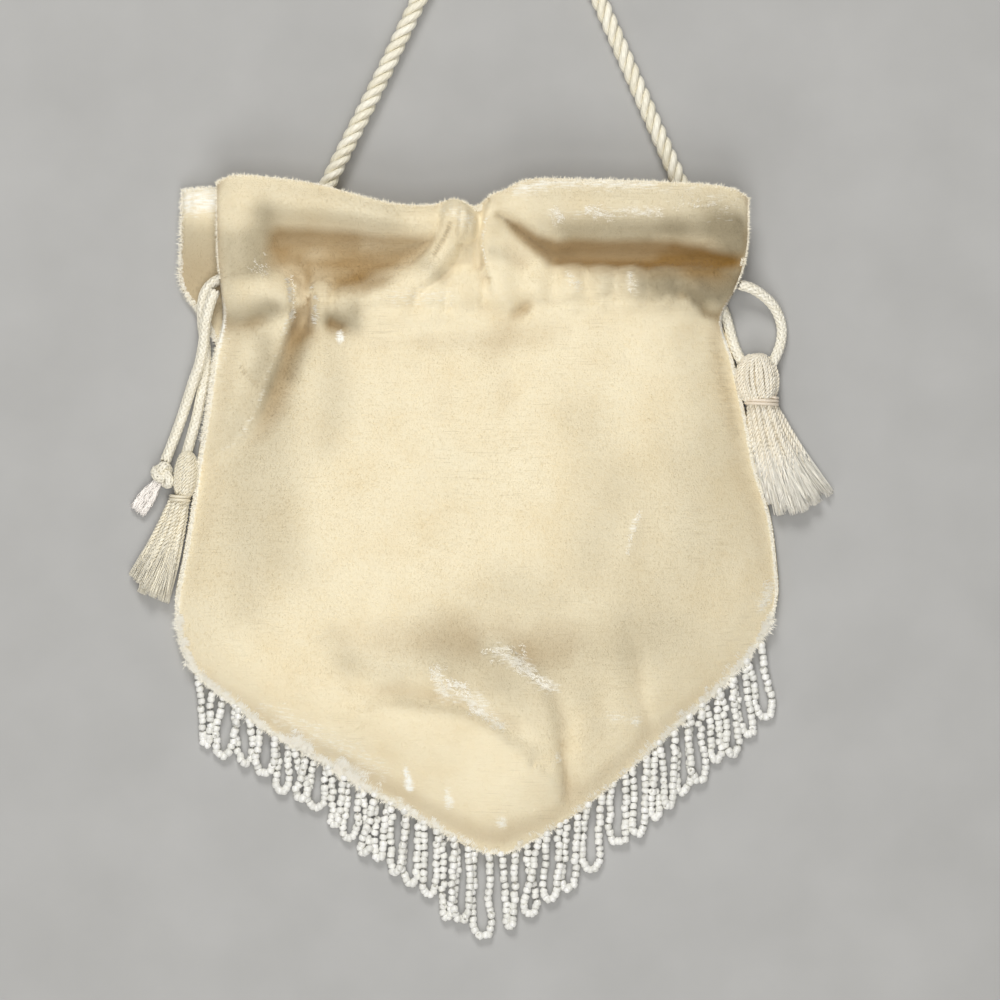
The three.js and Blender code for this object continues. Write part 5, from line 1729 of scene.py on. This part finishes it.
# %% Knot and frayed end
KNOT_MIDDLE = (-93.3, 113.0, 3.5)
KNOT_SIZE = (2.2, 3.3, 2.2)
KNOT_LEAN = 0.5
KNOT_CORD = 2.7
TAIL_START = (-94.8, 111.0, 2.6)
TAIL_END = (-101.0, 102.2, 1.3)
TAIL_FIBRES = 190
TAIL_STEPS = 16
TAIL_RADIUS = 0.16
TAIL_WAVE = 0.16
TAIL_FLOOR = 0.15
KNOT_HEIGHT_SHARE = 0.55


def knot_line(steps):
    """A three-lobed knot's line, drawn out to the knot's size."""
    t = np.linspace(0.2, 2 * np.pi - 0.2, steps)
    x = (np.sin(t) + 2 * np.sin(2 * t)) / 3 * KNOT_SIZE[0]
    y = (np.cos(t) - 2 * np.cos(2 * t)) / 3 * KNOT_SIZE[1]
    z = -np.sin(3 * t) * KNOT_SIZE[2] * KNOT_HEIGHT_SHARE
    return np.stack([*turned(x, y, KNOT_LEAN), z], axis=1) + KNOT_MIDDLE


knot, _ = braided_cord("left_knot_braid", knot_line(steps=40), seed=5, diameter=KNOT_CORD)
tail_rng = np.random.default_rng(6)
lane = tail_rng.uniform(-1, 1, (TAIL_FIBRES, 1))
level = tail_rng.uniform(-1, 1, (TAIL_FIBRES, 1))
share = np.linspace(0, 1, TAIL_STEPS)[None]
tail_axis = np.array(TAIL_START) + (np.array(TAIL_END) - TAIL_START) * share[..., None]
tail_way = unit(np.array(TAIL_END) - TAIL_START)
tail_side = unit(np.cross(tail_way, (0, 0, 1)))
width = (1.3 + 1.2 * smoothstep(share, 0, 0.6)) * lane
wave = TAIL_WAVE * np.sin(2 * np.pi * (3 * share + tail_rng.random((TAIL_FIBRES, 1))))
tail_height = (level * (1.0 - 0.35 * share))[..., None]
tail_lines = tail_axis + (width + wave)[..., None] * tail_side + tail_height * (0, 0, 1)
tail_lines = tail_lines + tail_way * (tail_rng.normal(0, 0.4, (TAIL_FIBRES, 1)) * share)[..., None]
tail_lines[..., 2] = np.maximum(tail_lines[..., 2], TAIL_FLOOR)
frayed_end = strand_piece("left_frayed_end", in_frame(tail_lines), TAIL_RADIUS * MM, sides=3, seed=7)
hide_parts("left_knot")

# %% [markdown]
# With the pieces at their ends made, each drawcord is listed with its route, the kind of its far end and
# the pieces that it carries, and its length is printed.

CORD_ENDS = [
    (left_front_cord, left_front_route, "knot", [knot, frayed_end]),
    (left_back_cord, left_back_route, "fitting", tassel_pieces["left"]),
    (right_front_cord, right_front_route, "fitting", tassel_pieces["right"]),
    (right_back_cord, right_back_route, "object", []),
]
for cord, route, far_end, carried in CORD_ENDS:
    print(cord.name, "is", round(route_length(route) * 1000), "mm long and carries", len(carried), "pieces")

# %% [markdown]
# A finish is a small graph of nodes. These helpers each add one node, set its values and links, and hand
# its result back, so a material reads as a list of steps.

# %% Node helpers


def add_node(tree, kind, values=None, **settings):
    """A new node with its settings made, and each named input set to a value or linked to a socket."""
    made = tree.nodes.new(kind)
    for key, value in settings.items():
        setattr(made, key, value)
    for key, value in (values or {}).items():
        if isinstance(value, bpy.types.NodeSocket):
            tree.links.new(value, made.inputs[key])
        else:
            made.inputs[key].default_value = value
    return made


def ramp(tree, factor, stops):
    """A colour ramp between places and colours."""
    made = add_node(tree, "ShaderNodeValToRGB", {"Fac": factor})
    points = made.color_ramp.elements
    while len(points) < len(stops):
        points.new(0.5)
    for point, (place, colour) in zip(points, stops):
        point.position = place
        point.color = (*colour, 1)
    return made.outputs["Color"]


def mix(tree, factor, first, second):
    """Two colours mixed by a factor."""
    made = add_node(tree, "ShaderNodeMix", {0: factor}, data_type="RGBA")
    for socket, value in ((made.inputs[6], first), (made.inputs[7], second)):
        if isinstance(value, bpy.types.NodeSocket):
            tree.links.new(value, socket)
        else:
            socket.default_value = (*value, 1)
    return made.outputs[2]


def maths(tree, operation, first, second=0.0):
    """One sum on two values."""
    made = add_node(tree, "ShaderNodeMath", {0: first, 1: second}, operation=operation)
    return made.outputs[0]


def times(tree, first, second):
    """Two values multiplied."""
    return maths(tree, "MULTIPLY", first, second)


print("node helpers:", ", ".join(tool.__name__ for tool in (add_node, ramp, mix, maths, times)))

# %% [markdown]
# Patterns come from the piece itself: from values on its points, and from soft noise over its own measures,
# which can be stretched, cut to a range or used as a relief.

# %% Pattern helpers


def mark(tree, name):
    """A value that the points of a piece carry."""
    return add_node(tree, "ShaderNodeAttribute", attribute_name=name).outputs["Fac"]


def place_on_object(tree):
    """The place in the object's own measures."""
    return add_node(tree, "ShaderNodeTexCoord").outputs["Object"]


def noise(tree, place, scale, detail, roughness=0.5):
    """A soft random value over a place."""
    values = {"Vector": place, "Scale": scale, "Detail": detail, "Roughness": roughness}
    return add_node(tree, "ShaderNodeTexNoise", values).outputs["Fac"]


def stretched(tree, place, scale, turn=(0, 0, 0)):
    """A place stretched along its axes and turned."""
    values = {"Vector": place, "Rotation": turn, "Scale": scale}
    return add_node(tree, "ShaderNodeMapping", values).outputs["Vector"]


def ranged(tree, value, low=0.0, high=1.0, start=0.0, end=1.0):
    """A value between low and high, moved to lie between a start and an end."""
    values = {"Value": value, "From Min": low, "From Max": high, "To Min": start, "To Max": end}
    return add_node(tree, "ShaderNodeMapRange", values).outputs["Result"]


def bumped(tree, height, strength, distance):
    """A surface direction that follows a small relief."""
    values = {"Height": height, "Strength": strength, "Distance": distance}
    return add_node(tree, "ShaderNodeBump", values).outputs["Normal"]


def new_finish(name):
    """A new material with its tree and its shader."""
    made = bpy.data.materials.new(name)
    made.use_nodes = True
    return made, made.node_tree, made.node_tree.nodes["Principled BSDF"]


def dress(finish, *pieces):
    """Give pieces a finish."""
    for piece in pieces:
        piece.data.materials.clear()
        piece.data.materials.append(finish)
    print(finish.name, "on", len(pieces), "pieces")


# %% [markdown]
# Rope, cords, yarns, thread and pile are all satin fibre: each strand has its own shade, the shade drifts
# along it and fine lines run along its surface. That is one effect in many materials, so it is a node group
# with named sockets.

# %% Satin fibre group
OWN_SHADE_SHARE = 0.55
DRIFT_SHARE = 0.45
LINE_HEIGHT = 0.5
fibre_group = bpy.data.node_groups.new("Satin fibre", "ShaderNodeTree")
COLOURS_IN = {"Bright": "Color", "Deep": "Color"}
MEASURES_IN = {"Shade": "Float", "Vector": "Vector", "Lines": "Float", "Slant": "Float"}
RESULTS = {"Colour": "Color", "Roughness": "Float", "Height": "Float"}
for way, sockets in (("INPUT", COLOURS_IN | MEASURES_IN), ("OUTPUT", RESULTS)):
    for name, kind in sockets.items():
        fibre_group.interface.new_socket(name, in_out=way, socket_type=f"NodeSocket{kind}")
given = add_node(fibre_group, "NodeGroupInput").outputs
place = add_node(fibre_group, "ShaderNodeSeparateXYZ", {0: given["Vector"]}).outputs
round_the_strand = times(fibre_group, place["X"], given["Lines"])
slanted = times(fibre_group, place["Y"], given["Slant"])
phase = maths(fibre_group, "ADD", round_the_strand, slanted)
wave = maths(fibre_group, "SINE", times(fibre_group, phase, 2 * math.pi))
own_place = place_on_object(fibre_group)
drift = noise(fibre_group, own_place, scale=420.0, detail=3.0)
fuzz = noise(fibre_group, own_place, scale=2600.0, detail=2.0)
own_shade = times(fibre_group, given["Shade"], OWN_SHADE_SHARE)
drift = times(fibre_group, drift, DRIFT_SHARE)
colour = mix(fibre_group, maths(fibre_group, "ADD", own_shade, drift), given["Deep"], given["Bright"])
roughness = ranged(fibre_group, fuzz, start=0.24, end=0.48)
height = maths(fibre_group, "ADD", times(fibre_group, wave, LINE_HEIGHT), fuzz)
add_node(fibre_group, "NodeGroupOutput", {"Colour": colour, "Roughness": roughness, "Height": height})
print("satin fibre group:", len(fibre_group.nodes), "nodes")


def satin_finish(name, bright, deep, lines, slant, bump, sheen):
    """A satin fibre finish with a number of lines round each strand, slanting along it."""
    made, tree, shader = new_finish(name)
    uv = add_node(tree, "ShaderNodeUVMap", uv_map="UVMap").outputs["UV"]
    values = {
        "Bright": (*bright, 1),
        "Deep": (*deep, 1),
        "Shade": mark(tree, "shade"),
        "Vector": uv,
        "Lines": lines,
        "Slant": slant,
    }
    group = add_node(tree, "ShaderNodeGroup", values, node_tree=fibre_group)
    normal = bumped(tree, group.outputs["Height"], strength=bump, distance=0.0002)
    tree.links.new(group.outputs["Colour"], shader.inputs["Base Color"])
    tree.links.new(group.outputs["Roughness"], shader.inputs["Roughness"])
    tree.links.new(normal, shader.inputs["Normal"])
    shader.inputs["Sheen Weight"].default_value = sheen
    shader.inputs["Sheen Roughness"].default_value = 0.4
    return made


# %% [markdown]
# Each satin finish is a bright and a deep colour, the lines round a strand, their slant, the strength of
# the relief and the sheen. The left tassel has yellowed more than the right one, so it has its own colours.

# %% Satin finishes
right_skirt, right_brush, right_head, right_core, right_binding = tassel_pieces["right"]
left_skirt, left_brush, left_head, left_core, left_binding = tassel_pieces["left"]
braids = [left_front_cord, left_back_cord, right_front_cord, right_back_cord, knot]
left_yarns = [left_skirt, left_head, left_binding]
right_yarns = [right_skirt, right_head]
cores = [left_core, right_core]
SATIN = [
    ("rope_satin", (0.97, 0.93, 0.8), (0.84, 0.78, 0.6), 7.0, 5.0, 0.4, 0.15, [strap]),
    ("braid_satin", (0.98, 0.94, 0.82), (0.82, 0.76, 0.6), 4.0, 0.0, 0.3, 0.15, braids),
    ("tassel_yarn", (0.98, 0.93, 0.81), (0.8, 0.72, 0.56), 3.0, 6.0, 0.3, 0.15, right_yarns),
    ("tassel_floss", (1.0, 0.97, 0.88), (0.88, 0.83, 0.71), 1.0, 0.0, 0.0, 0.5, [right_brush]),
    ("tassel_yarn_yellowed", (0.95, 0.9, 0.75), (0.8, 0.72, 0.54), 3.0, 6.0, 0.3, 0.15, left_yarns),
    ("tassel_floss_yellowed", (0.93, 0.88, 0.73), (0.82, 0.75, 0.58), 1.0, 0.0, 0.0, 0.5, [left_brush]),
    # Painted shade: the core is darker than the yarns, for the shade in the gaps between the head's yarns.
    ("yarn_core", (0.7, 0.62, 0.46), (0.55, 0.46, 0.31), 12.0, 0.0, 0.3, 0.15, cores),
    ("binding_thread", (0.9, 0.8, 0.66), (0.76, 0.65, 0.5), 4.0, 14.0, 0.4, 0.15, [right_binding]),
    ("frayed_fibre", (1.0, 0.96, 0.91), (0.9, 0.84, 0.77), 2.0, 0.0, 0.2, 0.15, [frayed_end]),
    ("bead_cotton", (0.88, 0.86, 0.8), (0.7, 0.66, 0.58), 3.0, 20.0, 0.3, 0.15, [bead_thread, fringe_tape]),
    # Painted highlight: the pile's colour, whiter than the cloth, where pile is seen edge on or pressed flat.
    ("pile_fibre", (1.0, 0.98, 0.9), (0.89, 0.81, 0.62), 1.0, 0.0, 0.0, 0.9, [velvet_pile]),
]
for *finish, pieces in SATIN:
    dress(satin_finish(*finish), *pieces)

# %% [markdown]
# Velvet is dull where it faces the eye and bright where it is seen along its pile. Its colour is painted
# deeper and warmer in the folds, as painted shade and as the light that bounces between warm walls, painted
# dull tan as shade where the nap turns from the light, and painted pale as a highlight where the pile is
# crushed, which is also made glossy.
# Fine ribs run across the cloth, the nap leans this way and that in soft patches, and worn backing shows in
# hair-thin dashes.

# %% Velvet colour
IVORY = [(0.3, (0.85, 0.735, 0.5)), (0.5, (0.885, 0.785, 0.56)), (0.7, (0.91, 0.82, 0.6))]
RIB_SHADE = (0.7, 0.57, 0.35)
# Painted shade: the dull tan that shaded nap is painted towards.
PAINTED_DULL_TAN = (0.36, 0.3, 0.19)
BARE_BACKING = (0.5, 0.41, 0.25)
# Painted shade: the warm brown that the folds are painted towards.
PAINTED_FOLD_BROWN = (0.28, 0.145, 0.02)
# Painted highlight: the pale white that crushed and lit pile is painted towards.
PAINTED_HIGHLIGHT_WHITE = (1.0, 0.985, 0.9)
RIB_SHARE = 0.14
DULL_SHADE_SHARE = 0.543
BARE_SHARE = 0.28
PAINTED_FOLD_SHARE = 0.632
CRUSH_GAIN = 1.25
STREAK_GAIN = 1.2
velvet, tree, shader = new_finish("ivory_velvet")
place = place_on_object(tree)
crush_and_highlight = mark(tree, "crush_and_highlight")
leaning = noise(tree, place, scale=55.0, detail=5.0, roughness=0.6)
ribs = noise(tree, stretched(tree, place, (160.0, 1500.0, 400.0)), scale=1.0, detail=2.0)
dashes = noise(tree, stretched(tree, place, (130.0, 2600.0, 300.0)), scale=1.0, detail=1.0)
worn = noise(tree, place, scale=32.0, detail=2.0)
streak_place = stretched(tree, place, (350.0, 1900.0, 800.0), turn=(0, 0, 0.7))
streaks = noise(tree, streak_place, scale=1.0, detail=3.0)
bare = times(tree, ranged(tree, dashes, 0.6, 0.74), ranged(tree, worn, 0.5, 0.62))
ivory = ramp(tree, leaning, IVORY)
ivory = mix(tree, times(tree, ribs, RIB_SHARE), ivory, RIB_SHADE)
# Painted shade: the colour is mixed towards dull tan where the nap is shaded.
ivory = mix(tree, times(tree, mark(tree, "stroke"), DULL_SHADE_SHARE), ivory, PAINTED_DULL_TAN)
ivory = mix(tree, times(tree, bare, BARE_SHARE), ivory, BARE_BACKING)
# Painted shade: the colour is mixed towards brown in the folds.
ivory = mix(tree, times(tree, mark(tree, "painted_fold_shade"), PAINTED_FOLD_SHARE), ivory, PAINTED_FOLD_BROWN)
# Painted highlight: crushed pile and glints are mixed towards pale white, and are also made smoother.
streaky = times(tree, maths(tree, "SUBTRACT", streaks, 0.5), STREAK_GAIN)
shine = maths(tree, "ADD", times(tree, crush_and_highlight, CRUSH_GAIN), streaky)
glint = ranged(tree, shine, 0.35, 0.95)
ivory = mix(tree, glint, ivory, PAINTED_HIGHLIGHT_WHITE)
tree.links.new(ivory, shader.inputs["Base Color"])
print("velvet colour:", len(tree.nodes), "nodes")

# %% [markdown]
# The same values steer the surface: crushed pile is smoother than standing pile, and its streaks stand out
# more. The sheen is one plain value for the whole cloth, so that it reaches other programs as well.

# %% Velvet surface
RIB_HEIGHT = 0.8
STREAK_HEIGHT = 3.0
tufts = noise(tree, place, scale=2200.0, detail=3.0)
relief = maths(tree, "ADD", times(tree, ribs, RIB_HEIGHT), tufts)
crushed_streaks = times(tree, times(tree, streaks, crush_and_highlight), STREAK_HEIGHT)
relief = maths(tree, "ADD", relief, crushed_streaks)
tree.links.new(bumped(tree, relief, strength=0.45, distance=0.0004), shader.inputs["Normal"])
tree.links.new(ranged(tree, glint, start=0.82, end=0.34), shader.inputs["Roughness"])
shader.inputs["Sheen Weight"].default_value = 0.5
shader.inputs["Sheen Roughness"].default_value = 0.35
shader.inputs["Sheen Tint"].default_value = (1.0, 0.95, 0.82, 1)
shader.inputs["Specular IOR Level"].default_value = 0.3
dress(velvet, velvet_front, velvet_back, velvet_nap)

# %% [markdown]
# The beads are opaque white glass. A bead is bright and glossy, and no two have quite the same white, so
# the shade that each bead carries moves its colour between a cool and a creamy white.

# %% Bead finish
BEAD_WHITES = [(0.0, (0.78, 0.77, 0.72)), (0.6, (0.87, 0.86, 0.81)), (1.0, (0.93, 0.92, 0.88))]
BEAD_CLOUD = (0.72, 0.7, 0.62)
CLOUD_SHARE = 0.2
bead_glass, tree, shader = new_finish("white_bead_glass")
cloud = noise(tree, place_on_object(tree), scale=900.0, detail=2.0)
white = ramp(tree, mark(tree, "shade"), BEAD_WHITES)
white = mix(tree, times(tree, cloud, CLOUD_SHARE), white, BEAD_CLOUD)
tree.links.new(white, shader.inputs["Base Color"])
tree.links.new(ranged(tree, cloud, start=0.06, end=0.2), shader.inputs["Roughness"])
shader.inputs["Subsurface Weight"].default_value = 0.12
shader.inputs["Subsurface Radius"].default_value = (0.001, 0.001, 0.0008)
dress(bead_glass, bead_fringe)

# %% [markdown]
# The bag lies on a plain pale floor, a hair under the lowest fibre so that the two don't flicker. The floor
# is only the stage.

# %% Floor
FLOOR_SIZE = 6.0
FLOOR_LEVEL = -0.0002
FLOOR_GREYS = [(0.3, (0.4, 0.395, 0.38)), (0.7, (0.44, 0.435, 0.42))]
bpy.ops.mesh.primitive_plane_add(size=FLOOR_SIZE, location=(0, 0, FLOOR_LEVEL))
floor = bpy.context.object
floor.name = "floor"
floor_paint, tree, shader = new_finish("pale_floor")
cloud = noise(tree, place_on_object(tree), scale=30.0, detail=4.0)
tree.links.new(ramp(tree, cloud, FLOOR_GREYS), shader.inputs["Base Color"])
shader.inputs["Roughness"].default_value = 0.7
dress(floor_paint, floor)

# %% [markdown]
# The light is soft, as in a studio. A large light stands beyond the mouth, so that each lip is lit and the
# folds below it are in shade, as on the real bag. One overhead opens the shadows, a weaker one beyond the
# tip lights the slope down to the fringe, and a low one at the lower left catches the pressed rim of the
# seam.

# %% Light
LIGHTS = [
    ("key_light", (-0.15, 1.0, 1.0), (0, 0.02, 0), 0.5, 10),
    ("tip_light", (0.1, -1.0, 1.2), (0, 0, 0), 0.8, 6.8),
    ("top_light", (0.0, -0.1, 1.6), (0, 0, 0), 0.9, 10.0),
    ("rim_light", (-0.6, -1.1, 0.42), (0, -0.05, 0), 0.5, 3.2),
]
SKY_COLOUR = (1.0, 0.97, 0.93, 1)
SKY_STRENGTH = 0.13


def soft_light(name, place, aim, size, power):
    """A square soft light that faces a point."""
    bpy.ops.object.light_add(type="AREA", location=place)
    light = bpy.context.object
    light.name = name
    light.data.size = size
    light.data.energy = power
    way = np.array(aim) - np.array(place)
    level = math.hypot(way[0], way[1])
    light.rotation_euler = (math.atan2(level, -way[2]), 0, math.atan2(way[1], way[0]) - math.pi / 2)


for light in LIGHTS:
    soft_light(*light)
world = bpy.data.worlds.new("studio")
bpy.context.scene.world = world
world.use_nodes = True
sky = world.node_tree.nodes["Background"].inputs
sky["Color"].default_value = SKY_COLOUR
sky["Strength"].default_value = SKY_STRENGTH
bpy.context.scene.view_settings.view_transform = "Standard"
print(len(LIGHTS), "lights of", sum(light[-1] for light in LIGHTS), "watts in all")
